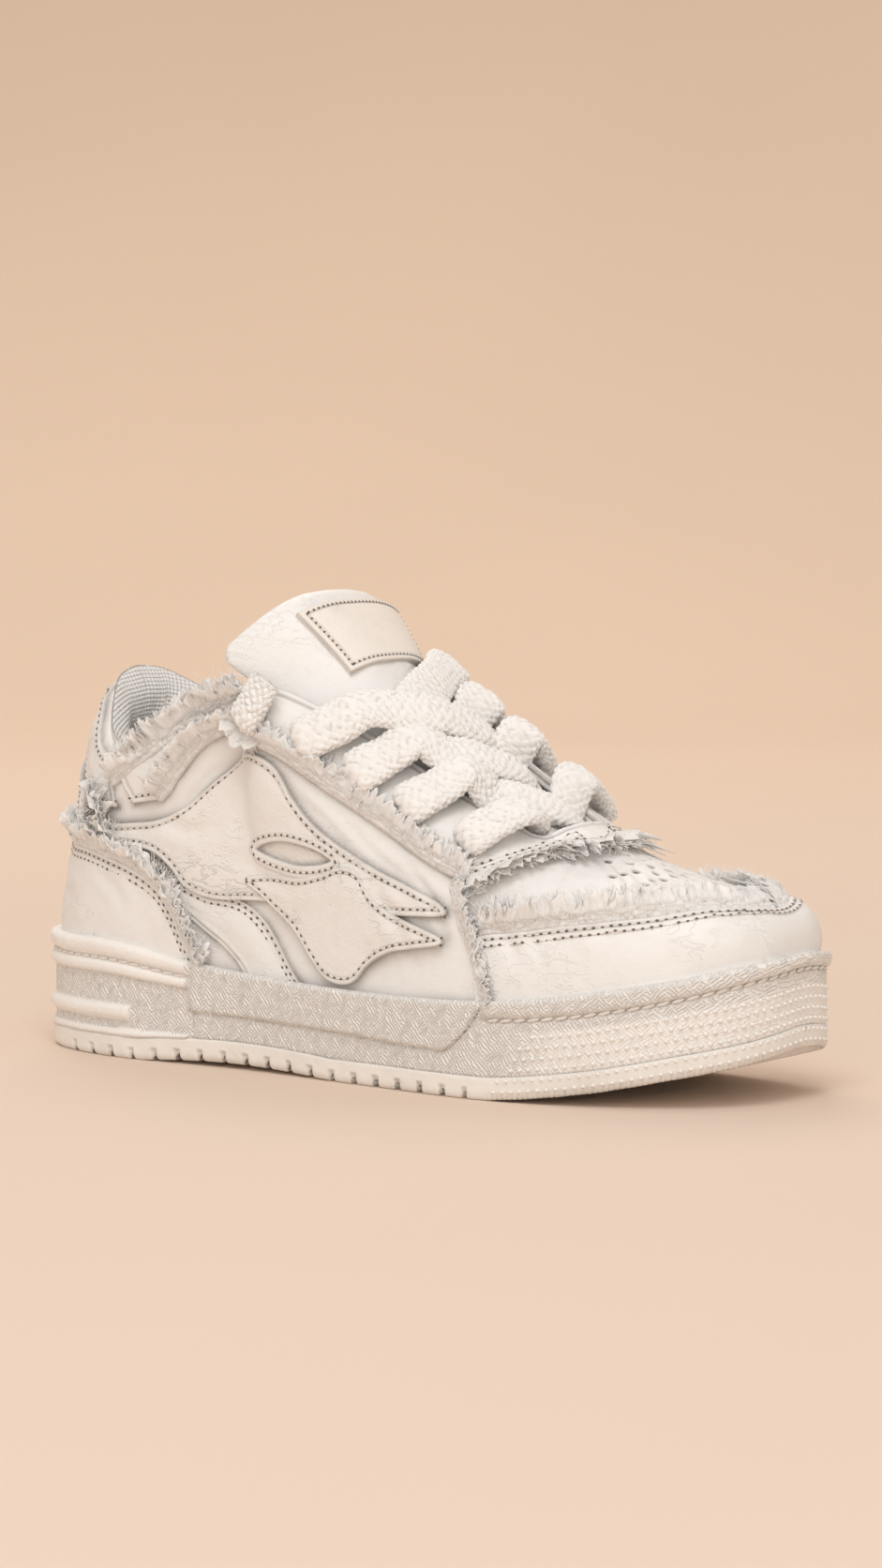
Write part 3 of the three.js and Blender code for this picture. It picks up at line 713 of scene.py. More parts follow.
# %% Cloth and thread
TORN = (0.97, 0.95, 0.925)
# The second colour of the knit, the lace and the frayed edge is dust and painted shade: at the low
# edge of the collar's roll, between the yarns of the lace, at the roots of the frayed ribbons and
# between their threads.
lining = material("lining_knit", (0.955, 0.94, 0.915), (0.66, 0.63, 0.60), 0.85, knitted(2.1),
                  0.00035, 0.5, sheen=0.5, subsurface=0.2)
cotton = material("lace_cotton", (0.90, 0.88, 0.855), (0.55, 0.515, 0.48), 0.85, fuzzy, 0.0002,
                  sheen=0.25)
fray = material("frayed_edge", TORN, (0.74, 0.68, 0.62), 0.9, fibrous, 0.0005, 0.6, sheen=0.35,
                subsurface=0.25, crack_dust_and_shade=0.28)
fibre = material("loose_fibre", TORN, (0.78, 0.73, 0.68), 0.9, reach=0.5, sheen=0.35,
                 subsurface=0.25)
thread = material("seam_thread", (0.80, 0.76, 0.715), (0.45, 0.41, 0.37), 0.7, reads_seam=False)
# A flat dark colour that stands in for the shade inside needle holes and punched holes.
shade = material("hole_shade", (0.16, 0.135, 0.115), (0.12, 0.10, 0.09), 0.9, reads_seam=False)
cover = material("footbed_cover", (0.74, 0.70, 0.66), (0.42, 0.40, 0.38), 0.85, fuzzy, 0.0002,
                 reads_seam=False)
print("7 kinds of cloth, thread and shade")

# %% Rubber
# The second colour is dust and painted shade: in the sewn groove of the cup, at its rim and in the
# notches of the tread.
rubber = material("cup_rubber", (0.905, 0.88, 0.845), (0.47, 0.42, 0.36), 0.5, scored(0.0014),
                  0.00022, 0.35, subsurface=0.08)
tread_rubber = material("tread_rubber", (0.885, 0.85, 0.80), (0.42, 0.37, 0.31), 0.55, fuzzy,
                        0.00012, 0.4, subsurface=0.08)
print(len(bpy.data.materials), "materials")

# %% [markdown]
# ## The studio floor
# A studio hangs a wide sheet of paper behind its subject. A plane and a wall would meet in a
# line; one sheet that runs flat under the shoe and then bends up behind it shows no horizon.
# Its tone grows lighter with distance, painted light that makes the sheet darker near the
# camera and lighter far away, and a little noise keeps it from looking painted.

# %% Sweep
def paper(away):
    """Two tones mixed by the distance along the view, painted light that is darker near and
    lighter far, with a trace of cloud.
    """
    made = bpy.data.materials.new("backdrop_paper")
    made.use_nodes = True
    tree = made.node_tree
    place = put(tree, "TexCoord").outputs["Object"]
    depth = put(tree, "VectorMath", {0: place, 1: tuple(away)}, operation="DOT_PRODUCT")
    tone = blend(tree, spread(tree, depth.outputs["Value"], -0.5, 2.4), (0.765, 0.63, 0.53, 1),
                 (0.915, 0.73, 0.575, 1))
    cloud = spread(tree, clouds(tree, place, 2.2, 5.0), 0.3, 0.7, 0.0, 0.06)
    tone = blend(tree, cloud, tone, (0.5, 0.4, 0.32, 1))
    shader = tree.nodes["Principled BSDF"]
    shader.inputs["Roughness"].default_value = 0.9
    shader.inputs["Specular IOR Level"].default_value = 0.1
    tree.links.new(tone, shader.inputs["Base Color"])
    return made


def sweep():
    """Profile along the view direction: flat, a quarter circle, then upright."""
    away = array([-sin(AZIMUTH), cos(AZIMUTH), 0])
    across = array([-away[1], away[0], 0])
    bend = linspace(0, pi / 2, 24)
    run = concatenate([[-3.5, -1, 0, 1.0], 1.4 + 1.2 * sin(bend), [2.6, 2.6]])
    rise = concatenate([[0, 0, 0, 0], 1.2 * (1 - cos(bend)), [2.5, 4.5]])
    wide = linspace(-4, 4, 9)
    points = (run[:, None, None] * away + wide[None, :, None] * across
              + stack(0 * rise, 0 * rise, rise)[:, None])
    mesh = bpy.data.meshes.new("floor")
    mesh.from_pydata(points.reshape(-1, 3).tolist(), [], grid(len(run), 9, 0, True).tolist())
    mesh.polygons.foreach_set("use_smooth", np.ones(len(mesh.polygons), bool))
    mesh.materials.append(paper(away))
    floor = bpy.data.objects.new("floor", mesh)
    bpy.context.scene.collection.objects.link(floor)
    print("floor", len(mesh.polygons), "faces")


sweep()

# %% [markdown]
# ## Cup sole
# A cup sole is moulded in one piece and sewn to the upper through a groove in its lip. It could
# be cut from a block with booleans, but every band would then have the same hard edge. Here it
# is a pile of outline rings, and each ring is pushed in or out by a relief worked out from its
# place: bands and bars at the heel, a hatched plate at the waist, a grooved lip and rows of
# small dots at the toe.

# %% Even stations round the outline, and shapes of the relief
WELT = TREAD + 0.35  # the cup starts this far above the floor line
HEEL_PLATE, TOE_PLATE = 0.349, 0.64  # where the heel's bands end and the toe's begin, in u


def around(count):
    """Stations at even steps round the shoe, along the outer side and back along the inner:
    their u, side and distance travelled."""
    u = linspace(0, 1, 4001)
    u = 0.5 - 0.5 * cos(pi * u)
    both = concatenate([u, u[::-1][1:-1]])
    side = concatenate([np.ones(len(u)), -np.ones(len(u) - 2)])
    line = outline(both, side, 0, 0 * both)
    s = lengths(concatenate([line, line[:1]]))
    at = linspace(0, s[-1], count, endpoint=False)
    signed = np.where(side > 0, both, 2 - both)
    w = np.interp(at, s, np.append(signed, 2.0))
    return np.where(w <= 1, w, 2 - w), np.where(w <= 1, 1.0, -1.0), at


def bulge(z, low, high, height):
    """A band with a flat face and rounded edges: one minus the fourth power."""
    return height * clip(1 - ((z - (low + high) / 2) / ((high - low) / 2)) ** 4, 0, 1)


def groove(x, at, width, depth):
    """A soft trough in the shape of a bell curve."""
    return -depth * exp(-((x - at) / width) ** 2)


def lip_groove(u):
    """Height of the sewn groove: a share of the wall, higher at the heel."""
    low = floor_z(u) + WELT
    share = curve([0, 0.345, 0.62, TOE_PLATE, 1], [0.79, 0.79, 0.76, 0.745, 0.77], u)
    return low + (rim_z(u) - low) * share


print("the groove is", lip_groove(array([0, 0.8])).round(1), "mm up at heel and toe")

# %% The relief and the cup
def sole_relief(u, z, s):
    """Millimetres out from the plain wall; s is the way travelled round the sole."""
    low, top = floor_z(u) + WELT, rim_z(u)
    tall = top - low
    seam = lip_groove(u)
    lip, band = bulge(z, seam + 0.55, top + 2.5, 1.9), bulge(z, low + 0.64 * tall, seam - 0.5, 1.5)
    bar = bulge(z, 12.2, 16.8, 1.7) * (1 - smooth(0.278, 0.284, u))
    heel = lip + band + bar + bulge(z, 5.5, 9.4, 1.0)
    plate = curve([0.35, 0.4, 0.5, 0.58, 0.603, 0.62, TOE_PLATE],
                  [16.7, 16.5, 15.3, 14.1, 14.5, 20, 30], u)
    waist = 0.6 + 1.2 * smooth(plate - 0.35, plate + 0.35, z) + groove(z, plate - 0.2, 0.6, 0.9)
    toe = bulge(z, seam + 0.4, top + 2.5, 1.5) + 0.4 + groove(z, seam, 0.55, 0.9)
    front, rear = smooth(0.632, TOE_PLATE, u), 1 - smooth(0.343, HEEL_PLATE, u)
    total = heel * rear + toe * front + waist * (1 - rear) * (1 - front)
    rough = 0.08 * noise(s / 1.7, z / 1.7, 4) + 0.12 * noise(s / 9, z / 9, 5)
    return total + groove(u * U_MM, HEEL_PLATE * U_MM, 0.9, 0.9) + rough - 1.3


def midsole():
    """Rings from the welt up to the rim, then a few down the inside to the footbed. The groove and
    the rim are darker, dust and painted shade in the recess and where the upper sits; the front
    of the toe is darker too; the hatching is weak on the heel's bands."""
    u, side, s = around(860)
    low, top = floor_z(u) + WELT, rim_z(u)
    inner = RIM_WALL - 0.35
    share = concatenate([linspace(0, 0.955, 40), [0.985]])
    rings = []
    for f in share:
        z = low + (top - low) * f - 0.3 * (f == 0)
        edge = 0.9 * smooth(0.95, 1, f)
        rings.append(outline(u, side, edge - sole_relief(u, z, s), z))
    for inset, z in ((1.5, top), (2.6, top - 0.1), (inner, top - 0.9),
                     (inner, (top + bed_z(u)) / 2), (inner, bed_z(u))):
        rings.append(outline(u, side, inset, z))
    rings = array(rings)
    points, faces = ring_stack(rings)
    z = points[:, 2].reshape(rings.shape[:2])
    sewn_zone = (1 - smooth(0.343, HEEL_PLATE, u)) + smooth(0.63, TOE_PLATE, u)
    # Dust and painted shade in the sewn groove, and at the rim where the upper sits.
    dark = 0.85 * exp(-((z - lip_groove(u)) / 0.5) ** 2) * sewn_zone
    dark += 0.35 * smooth(-0.8, 0, z - top)
    tall = (z - low) / (top - low)
    dark += 0.16 * smooth(0.64, 0.66, u) * (z < low + 0.6 * (top - low))
    cuts = 1 - 0.65 * smooth(0.64, 0.72, u) * (1 - smooth(0.5, 0.6, tall))
    on_band = (tall > 0.64) | ((z > 12) & (z < 17) & (u < 0.28)) | (z < 9.5)
    cuts = np.where((u < 0.345) & on_band, 0.15, cuts)
    piece("cup_sole", points, faces, rubber, ["midsole"], "sole_rubber", seam=dark.ravel(),
          cuts=(cuts + 0 * z).ravel())


midsole()

# %% [markdown]
# ## Tread
# The tread is the layer that meets the floor. It has deep notches under the heel and the waist,
# and fine teeth where the toe turns up. Rings would be the wrong way round for notches that
# run across the foot, so it is built from sections instead: one closed loop for each station
# along the foot, drawn in where a notch cuts through.

# %% Outsole: lugs at heel and waist, fine teeth at the toe
NOTCH_DEEP = 2.2


def outsole():
    """Sections across the foot, each a closed loop: bottom, outer side, top, inner side. The
    bottom and the sides are notched every 9 mm as far as the ball; the toe has small teeth."""
    u = around(1300)[0][:651]
    u[0], u[-1] = 0, 1
    bottom = linspace(-1, 1, 17)
    rise = array([0.12, 0.5, 0.9, 1.4, 1.9, 2.4, 2.9, 3.4, 3.8, 4.2, 4.6, 5.2, 6.1, 7])
    loops = []
    y = -(LENGTH / 2) * cos(pi * u)
    notch = (1 - smooth(0.8, 1.25, np.abs((y + 112 + 4.5) % 9 - 4.5))) * (y < 50) * (y > -114)
    s = lengths(outline(u, 1.0, 0, 0 * u))
    teeth = (0.5 + 0.5 * cos(s * 2 * pi / 1.7)) * smooth(0.63, 0.65, u)
    floor = floor_z(u)
    for x in bottom:
        edge = outline(u, np.sign(x) or 1.0, 2.0, floor)
        edge[:, 0] = centre(u) + (edge[:, 0] - centre(u)) * abs(x)
        bars = 0.7 * (0.5 + 0.5 * np.sign(sin(y / 1.9))) * smooth(0.64, 0.66, u)
        edge[:, 2] += NOTCH_DEEP * notch + bars + 0.4 * teeth * (abs(x) > 0.95)
        loops.append(edge)
    for side, order in ((1.0, rise), (-1.0, rise[::-1])):
        if side < 0:
            for x in (0.5, -0.5):
                flat = outline(u, np.sign(x), 3, floor + TREAD)
                flat[:, 0] = centre(u) + (flat[:, 0] - centre(u)) * abs(x)
                loops.append(flat)
        for h in order:
            inset = (0.6 + 1.3 * exp(-h / 0.7) + 1.5 * notch * (1 - smooth(3.0, 3.8, h))
                     + 0.55 * teeth * (1 - smooth(1.8, 2.6, h))
                     + 0.1 * noise(s / 2.3, h / 2 + side, 8))
            lift = maximum(h, NOTCH_DEEP * notch * (h < NOTCH_DEEP))
            loops.append(outline(u, side, inset, floor + lift))
    rings = array(loops).transpose(1, 0, 2)
    n, m = rings.shape[:2]
    i = arange(n * m).reshape(n, m)
    j = np.roll(i, -1, axis=1)
    faces = [np.stack([i[:-1], i[1:], j[1:], j[:-1]], -1).reshape(-1, 4)]
    z = rings[..., 2] - floor[:, None]
    toe = smooth(TOE_PLATE, 0.66, u)[:, None]
    # Darker near the floor line and at the toe; in the notches it is dust and painted shade.
    dark = 0.45 * (1 - smooth(0.3, 2.5, z)) + 0.4 * notch[:, None] * (z < 4) + 0.25 * toe
    piece("tread", rings.reshape(-1, 3), faces, tread_rubber, ["outsole"], "sole_rubber", weld=True,
          seam=dark.ravel())


outsole()
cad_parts["insole"].data.materials.clear()
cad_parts["insole"].data.materials.append(cover)

# %% [markdown]
# ## Creases laid one by one
# Leather folds where the foot bends: behind the ball, over the ankle and at the heel. Noise
# alone looks like a crumpled bag, because it folds everywhere. So each crease is drawn as a
# line of places on the skin with a width and a depth: a trough with a low ridge on each side.
# All leather pieces share the same relief, so a fold runs on through a seam.

# %% The lines of the creases
CREASES = [  # (u, v) from end to end, then width and depth in millimetres
    ([(0.645, 0.42), (0.655, 0.3), (0.672, 0.16)], 2.0, 0.55),
    ([(0.672, 0.36), (0.69, 0.22), (0.7, 0.1)], 1.6, 0.4),
    ([(0.7, 0.62), (0.712, 0.8), (0.735, 1.05), (0.745, 1.35)], 1.8, 0.35),
    ([(0.795, 0.62), (0.8, 0.85), (0.8, 1.2), (0.8, 1.7)], 2.4, 0.45),
    ([(0.56, 0.52), (0.585, 0.4), (0.6, 0.22)], 1.7, 0.5),
    ([(0.53, 0.4), (0.555, 0.26), (0.57, 0.12)], 2.0, 0.5),
    ([(0.5, 0.6), (0.535, 0.5), (0.57, 0.46)], 1.5, 0.35),
    ([(0.33, 0.62), (0.36, 0.7), (0.395, 0.73)], 1.6, 0.45),
    ([(0.3, 0.56), (0.335, 0.5), (0.37, 0.48)], 2.2, 0.55),
    ([(0.36, 0.42), (0.4, 0.36), (0.43, 0.3)], 1.6, 0.35),
    ([(0.2, 0.34), (0.235, 0.27), (0.26, 0.16)], 2.0, 0.4),
    ([(0.03, 0.6), (0.08, 0.57), (0.13, 0.6)], 2.2, 0.5),
    ([(0.1, 0.8), (0.15, 0.76), (0.2, 0.78)], 1.8, 0.45),
    ([(0.07, 0.22), (0.12, 0.18), (0.17, 0.2)], 2.4, 0.4),
    ([(0.44, 0.66), (0.47, 0.6), (0.5, 0.52)], 1.6, 0.4),
    ([(0.84, 0.3), (0.87, 0.22), (0.905, 0.2)], 2.4, 0.3)]
print(len(CREASES), "creases on each side")

# %% Relief of the leather
def relief(u, v):
    """Sum of the creases, soft dents and the swell of the collar padding, in mm outward. A
    crease is a bell curve of the distance to its line, less half a bell on each side."""
    u, v = alike(u, v)
    total = np.zeros(u.shape)
    for mirrored in (False, True):
        w = 3 - v if mirrored else v
        for i, (line, width, depth) in enumerate(CREASES):
            moved = array([0.012 * sin(i * 2.1), 0.02 * cos(i * 1.7)]) * mirrored
            line = array(line) + moved
            best, along = np.full(u.shape, 1e9), np.zeros(u.shape)
            for k in range(len(line) - 1):
                a, d = line[k] * (U_MM, V_MM), (line[k + 1] - line[k]) * (U_MM, V_MM)
                x, y = u * U_MM - a[0], w * V_MM - a[1]
                f = clip((x * d[0] + y * d[1]) / (d @ d), 0, 1)
                apart = np.hypot(x - f * d[0], y - f * d[1])
                along = np.where(apart < best, (k + f) / (len(line) - 1), along)
                best = minimum(best, apart)
            end = 0.35 + 0.65 * sin(pi * clip(along, 0.02, 0.98))
            total += depth * end * (0.5 * exp(-((best - 2.1 * width) / width) ** 2)
                                    - exp(-(best / width) ** 2))
    calm = smooth(0, 0.04, u) * (1 - smooth(0.95, 0.995, u))
    edge = np.where(v <= 1.5, v, 3 - v)
    dents = (0.55 * noise(u * 15, v * 3.2, 11) + 0.22 * noise(u * 46, v * 9, 12)
             + 0.1 * noise(u * 120, v * 25, 14))
    rising, falling = smooth(0.55, 0.85, edge), 1 - smooth(0.93, 1.0, edge)
    collar = 1.6 * rising * falling * (1 - smooth(0.3, 0.4, u))
    return (total + dents) * calm * smooth(0, 0.08, edge) + collar


def skin_normal(u, v):
    """Outward normal of the skin; at heel and toe both sides share one, in the middle plane."""
    u, v = alike(u, v)
    tip = (u < 1e-6) | (u > 1 - 1e-6)
    n = normal_of(skin, clip(u, 0.004, 0.996), np.where(tip & (v > 1.5), 3 - v, v))
    n[..., 0] = np.where(tip, 0, n[..., 0])
    return unit(n)


def over(u, v, height=0.0):
    """A place `height` mm above the creased skin."""
    return skin(u, v) + skin_normal(u, v) * (relief(u, v) + height)[..., None]


print("relief at the instep:", round(float(relief(0.56, 0.4)), 2), "mm")

# %% [markdown]
# ## Panels
# Leather panels are cut flat, laid over each other and sewn a little way in from the edge. They
# could be modelled one by one and shrink-wrapped to the shoe. Here a panel is a patch of the
# same skin between two edges, so it fits by itself: it rises from the skin with a crisp cut
# edge, dips along its row of stitches and swells between them. Distances to the edges are
# measured in millimetres on the surface, so the rows keep their place however wide it is.

# %% Patches of the skin
FEET, SEAMS, BUILT = [], [], []  # edges, rows of stitches and panels


def ruled(low, high):
    """Patch between two edges, each a list of (u, v) places; p runs along, q from low to high."""
    low, high = array(low, float), array(high, float)
    a, b = linspace(0, 1, len(low)), linspace(0, 1, len(high))

    def place(p, q):
        return tuple(curve(a, low[:, k], p) * (1 - q) + curve(b, high[:, k], p) * q for k in (0, 1))
    return place


def folded(knots, low, high):
    """Patch that runs round the toe or the heel: heights over u, the same on both sides."""
    ends = (knots[0], knots[-1])

    def place(p, q):
        turn = 1 if knots[-1] > 0.9 else 0
        u = turn + (ends[0] + ends[1] - 2 * turn) * np.abs(1 - 2 * p)
        w = curve(knots, low, u) * (1 - q) + curve(knots, high, u) * q
        return u, np.where(p <= 0.5, w, 3 - w)
    return place


def mirrored(place):
    """The same patch on the inner side."""
    return lambda p, q: (place(p, q)[0], 3 - place(p, q)[1])


print("patches: ruled, folded, mirrored")

# %% Measuring on a patch
NEAR_EDGE = array([0, 0.2, 0.5, 0.9, 1.3, 1.7, 2.1, 2.6, 3.4, 4.6])


def stations(total, step):
    """Shares of a length: close together within 5 mm of each end, `step` apart between."""
    ends = NEAR_EDGE * min(1, total / (2.4 * NEAR_EDGE[-1])) / total
    count = max(int((total * (1 - 2 * ends[-1])) / step), 2) + 1
    between = linspace(ends[-1], 1 - ends[-1], count)
    return concatenate([ends[:-1], between, (1 - ends[::-1])[1:]])


def measured(place, p, q):
    """u, v and the millimetres from each place to the two edges across and the two ends along."""
    u, v = place(p[:, None], q[None, :])
    across, along = (travelled(skin(u, v), axis) for axis in (1, 0))
    return u, v, across, across[:, -1:] - across, along, along[-1:] - along


def edge_line(place, q, base, count=400):
    """Points, outward normals and inward directions along one long edge of a panel."""
    p = linspace(0, 1, count)
    u, v = place(p, np.full(count, float(q)))
    step = 0.02 if q < 0.5 else -0.02
    a, b = over(u, v, base), over(*place(p, np.full(count, q + step)), base)
    return a, skin_normal(u, v), unit(b - a)


def sewn(line, normal, inward, apart, pitch=2.7):
    """Notes a row of stitches `apart` mm in from an edge, to be made later."""
    SEAMS.append(resample(line + inward * apart, pitch, normal))


def lens(u, v, window):
    """Millimetres outside a lens-shaped window, less than nothing inside it."""
    a, b, long, tall, turn = window
    x, y = (u - a) * U_MM, (v - b) * V_MM
    x, y = x * cos(turn) + y * sin(turn), y * cos(turn) - x * sin(turn)
    arch = tall * (1 - clip(np.abs(x) / long, 0, 2) ** 2)
    return (np.abs(y) - arch) * 0.9 + maximum(np.abs(x) - long, 0) * 0.4


print("steps across a 20 mm patch:", len(stations(20, 1.4)))

# %% The panel
SWELL, PIT_DEEP = 0.25, 1.6


def panel(name, place, thick=1.3, base=0.0, takes=(), look=None, rows=(2.2,), step=1.4,
          low_row=True, high_row=True, pits=(), open_ends=True, window=None):
    """A raised patch. Its height is `thick` with a rounded cut edge, less a trough at each row
    of stitches, plus a soft swell between them; `pits` are eyelets and `window` is a lens where
    the panel sinks almost to the skin. The panel is kept in BUILT and its edges and rows in FEET
    and SEAMS."""
    some, few = linspace(0, 1, 60), linspace(0, 1, 9)
    reach = lengths(skin(*place(linspace(0, 1, 300), np.full(300, 0.5))))
    p = np.interp(stations(reach[-1], step) * reach[-1], reach, linspace(0, 1, 300))
    widths = span(skin(*place(some, 0 * some)) - skin(*place(some, 0 * some + 1)))
    q = stations(max(np.percentile(widths, 70), 4), step)
    u, v, d0, d1, e0, e1 = measured(place, p, q)
    d = minimum(d0, d1)
    if open_ends:
        d = minimum(d, minimum(e0, e1))
    height = thick * (0.72 + 0.28 * sqrt(1 - (1 - clip(d / 0.7, 0, 1)) ** 2))
    for r in rows:
        height += groove(d, r, 0.5, 0.28)
    height += SWELL * smooth(rows[-1] + 1, rows[-1] + 6, d)
    # Dust and painted shade along the first row of stitches and at the cut edge.
    dark = 0.8 * exp(-((d - rows[0]) / 0.5) ** 2) + 0.7 * exp(-d / 0.35)
    if window:
        rim = lens(u, v, window)
        height = height * smooth(0.2, 1.6, rim) + 0.1
        # Painted shade inside the window, where the panel sinks almost to the skin.
        dark = maximum(dark, 0.9 * smooth(-1.4, -0.2, rim) * (rim < 1))
    for at, size in pits:
        away = span(skin(u, v) - at)
        height -= PIT_DEEP * exp(-(away / size) ** 4)
        # Painted shade in each eyelet.
        dark = maximum(dark, exp(-(away / (size * 1.1)) ** 6))
    outer, under = over(u, v, base + height), over(*place(p[:, None], few[None, :]), base - 0.3)
    if faces_in(outer, skin_normal(u, v)):
        outer, under, dark = outer[:, ::-1], under[:, ::-1], dark[:, ::-1]
    for q_edge, wanted in ((0, low_row), (1, high_row)):
        line, normal, inward = edge_line(place, q_edge, base)
        FEET.append(resample(line, 1.5)[0])
        if wanted:
            for r in rows:
                sewn(line + normal * (thick - 0.2), normal, inward, r)
    points, faces, seam = sheet_of(outer, under, dark, 0.6)
    BUILT.append((name, points, faces, look or leather, takes, seam))


print("eyelets are", PIT_DEEP, "mm deep")

# %% [markdown]
# ### The window in the saddle
# The saddle has a lens-shaped window with a turned, stitched lip. The panel's grid is too coarse
# for its two sharp corners, so the lip is a piece of its own: a small section carried round the
# lens, which hides the rough edge of the hole.

# %% The lip of the window
def volume_of(points, quads):
    """Six times the volume inside a closed surface; less than nothing when it is inside out."""
    p, q, r, s = (points[quads[:, k]] for k in range(4))
    return np.einsum("ij,ij->", p, np.cross(q, r)) + np.einsum("ij,ij->", p, np.cross(r, s))


def window_lip(name, eye, count=140):
    """The turned edge of the lens-shaped window: a closed section carried round the lens, whose
    outline is a sine against a cosine, and one row of stitches."""
    a = linspace(0, 2 * pi, count, endpoint=False)
    rim = np.stack([eye[2] * cos(a), eye[3] * sin(a) * np.abs(sin(a)) ** 0.7], -1)
    step = unit(np.roll(rim, -1, 0) - np.roll(rim, 1, 0))
    outward = np.stack([step[:, 1], -step[:, 0]], -1)

    def at(apart, height):
        x, y = (rim + outward * apart).T
        u = eye[0] + (x * cos(eye[4]) - y * sin(eye[4])) / U_MM
        v = eye[1] + (x * sin(eye[4]) + y * cos(eye[4])) / V_MM
        return over(u, v, height), skin_normal(u, v)

    section = [(3.7, 1.6), (3.4, 2.1), (2.7, 2.3), (1.8, 2.1), (0.9, 2.3), (0.3, 2.25), (0, 2.0),
               (0, 0.5), (2.0, 0.3), (3.7, 1.0)]
    # Dust and painted shade in the stitch groove and where the lip meets the saddle; painted shade
    # down its inside and underside.
    dark = array([0.7, 0.3, 0, 0.5, 0, 0.1, 0.6, 1, 1, 1])
    rings = array([at(*place)[0] for place in section])
    i = arange(rings.shape[0] * count).reshape(-1, count)
    j, k = np.roll(i, -1, 0), np.roll(np.roll(i, -1, 0), -1, 1)
    faces = np.stack([i, j, k, np.roll(i, -1, 1)], -1).reshape(-1, 4)
    points = rings.reshape(-1, 3)
    if volume_of(points, faces) < 0:
        faces = faces[:, ::-1]
    BUILT.append((name, points, [faces], suede, (), np.repeat(dark, count)))
    line, normal = at(1.8, 2.2)
    close = lambda data: concatenate([data, data[:1]])
    SEAMS.append(resample(close(line), 2.5, close(normal)))


print("area of the window:", round(4 / 3 * 14.0 * 3.0), "square mm")

# %% [markdown]
# ### The cut of each panel
# A shoemaker cuts panels round patterns. The patterns here are places on the skin: a low edge
# and a high edge. The toe guard and the heel counter wrap round both sides, so they are folded
# patches. The rest is ruled from edge to edge and mirrored for the inner side.

# %% Patterns
guard = folded([0.631, 0.66, 0.691, 0.759, 0.851, 0.93, 1], [-0.02] * 7,
               [0.275, 0.31, 0.338, 0.376, 0.434, 0.49, 0.52])
counter = folded([0, 0.076, 0.12, 0.173, 0.215, 0.254, 0.28, 0.302, 0.318, 0.33, 0.348],
                 [-0.02] * 11,
                 [0.34, 0.37, 0.41, 0.444, 0.42, 0.363, 0.31, 0.245, 0.161, 0.079, 0.0])
heel_strip = folded([0, 0.012, 0.028], [0.36] * 3, [0.955] * 3)
half_low = [(0.372, 0.86), (0.40, 0.825), (0.428, 0.771), (0.474, 0.72), (0.51, 0.686),
            (0.546, 0.641), (0.585, 0.575), (0.617, 0.55), (0.648, 0.70), (0.675, 0.85),
            (0.71, 1.0), (0.735, 1.15)]
half_high = [(0.36, 1.0), (0.40, 1.0), (0.44, 1.0), (0.48, 1.0), (0.52, 1.0), (0.56, 1.0),
             (0.60, 1.0), (0.63, 1.0), (0.655, 1.0), (0.672, 1.0), (0.683, 1.05), (0.688, 1.25)]


def across_throat(half, middle):
    """An edge up one side, over the middle of the throat and down the other side."""
    return half + [middle] + [(u, 3 - v) for u, v in half[::-1]]


stay = ruled(across_throat(half_low, (0.757, 1.5)), across_throat(half_high, (0.69, 1.5)))
collar_band = ruled([(0.245, 0.70), (0.27, 0.685), (0.297, 0.677), (0.321, 0.748), (0.346, 0.811),
                     (0.369, 0.835), (0.389, 0.845), (0.41, 0.82)],
                    [(0.205, 0.90), (0.24, 0.965), (0.27, 0.985), (0.30, 0.99), (0.33, 0.99),
                     (0.36, 0.995), (0.385, 0.995), (0.415, 0.995)])
saddle = ruled([(0.03, 0.535), (0.10, 0.52), (0.17, 0.50), (0.235, 0.475), (0.285, 0.43),
                (0.312, 0.36), (0.332, 0.275), (0.362, 0.235), (0.40, 0.235), (0.44, 0.24),
                (0.475, 0.25), (0.505, 0.265), (0.535, 0.285), (0.565, 0.305), (0.59, 0.325),
                (0.60, 0.345)],
               [(0.03, 0.665), (0.10, 0.645), (0.17, 0.62), (0.235, 0.60), (0.29, 0.575),
                (0.335, 0.60), (0.375, 0.68), (0.408, 0.75), (0.432, 0.725), (0.448, 0.63),
                (0.472, 0.55), (0.505, 0.495), (0.535, 0.46), (0.565, 0.43), (0.59, 0.395),
                (0.60, 0.365)])
leaf = ruled([(0.40, 0.285), (0.425, 0.225), (0.45, 0.165), (0.468, 0.09), (0.485, 0.035),
              (0.508, 0.035), (0.525, 0.10), (0.545, 0.15), (0.57, 0.18), (0.59, 0.20),
              (0.598, 0.215)],
             [(0.40, 0.315), (0.425, 0.33), (0.455, 0.345), (0.478, 0.385), (0.497, 0.435),
              (0.513, 0.43), (0.525, 0.36), (0.545, 0.305), (0.57, 0.275), (0.59, 0.25),
              (0.598, 0.235)])
rear_patch = ruled([(0.012, 0.72), (0.06, 0.715), (0.12, 0.70), (0.175, 0.69), (0.215, 0.70)],
                   [(0.012, 0.93), (0.06, 0.95), (0.12, 0.955), (0.165, 0.95), (0.19, 0.90)])
waist_seam = ruled([(0.221, 0.42), (0.296, 0.25), (0.35, 0.13), (0.385, 0.05), (0.40, -0.02)],
                   [(0.221, 0.507), (0.296, 0.36), (0.35, 0.262), (0.40, 0.215), (0.455, 0.0)])
print("9 patterns")

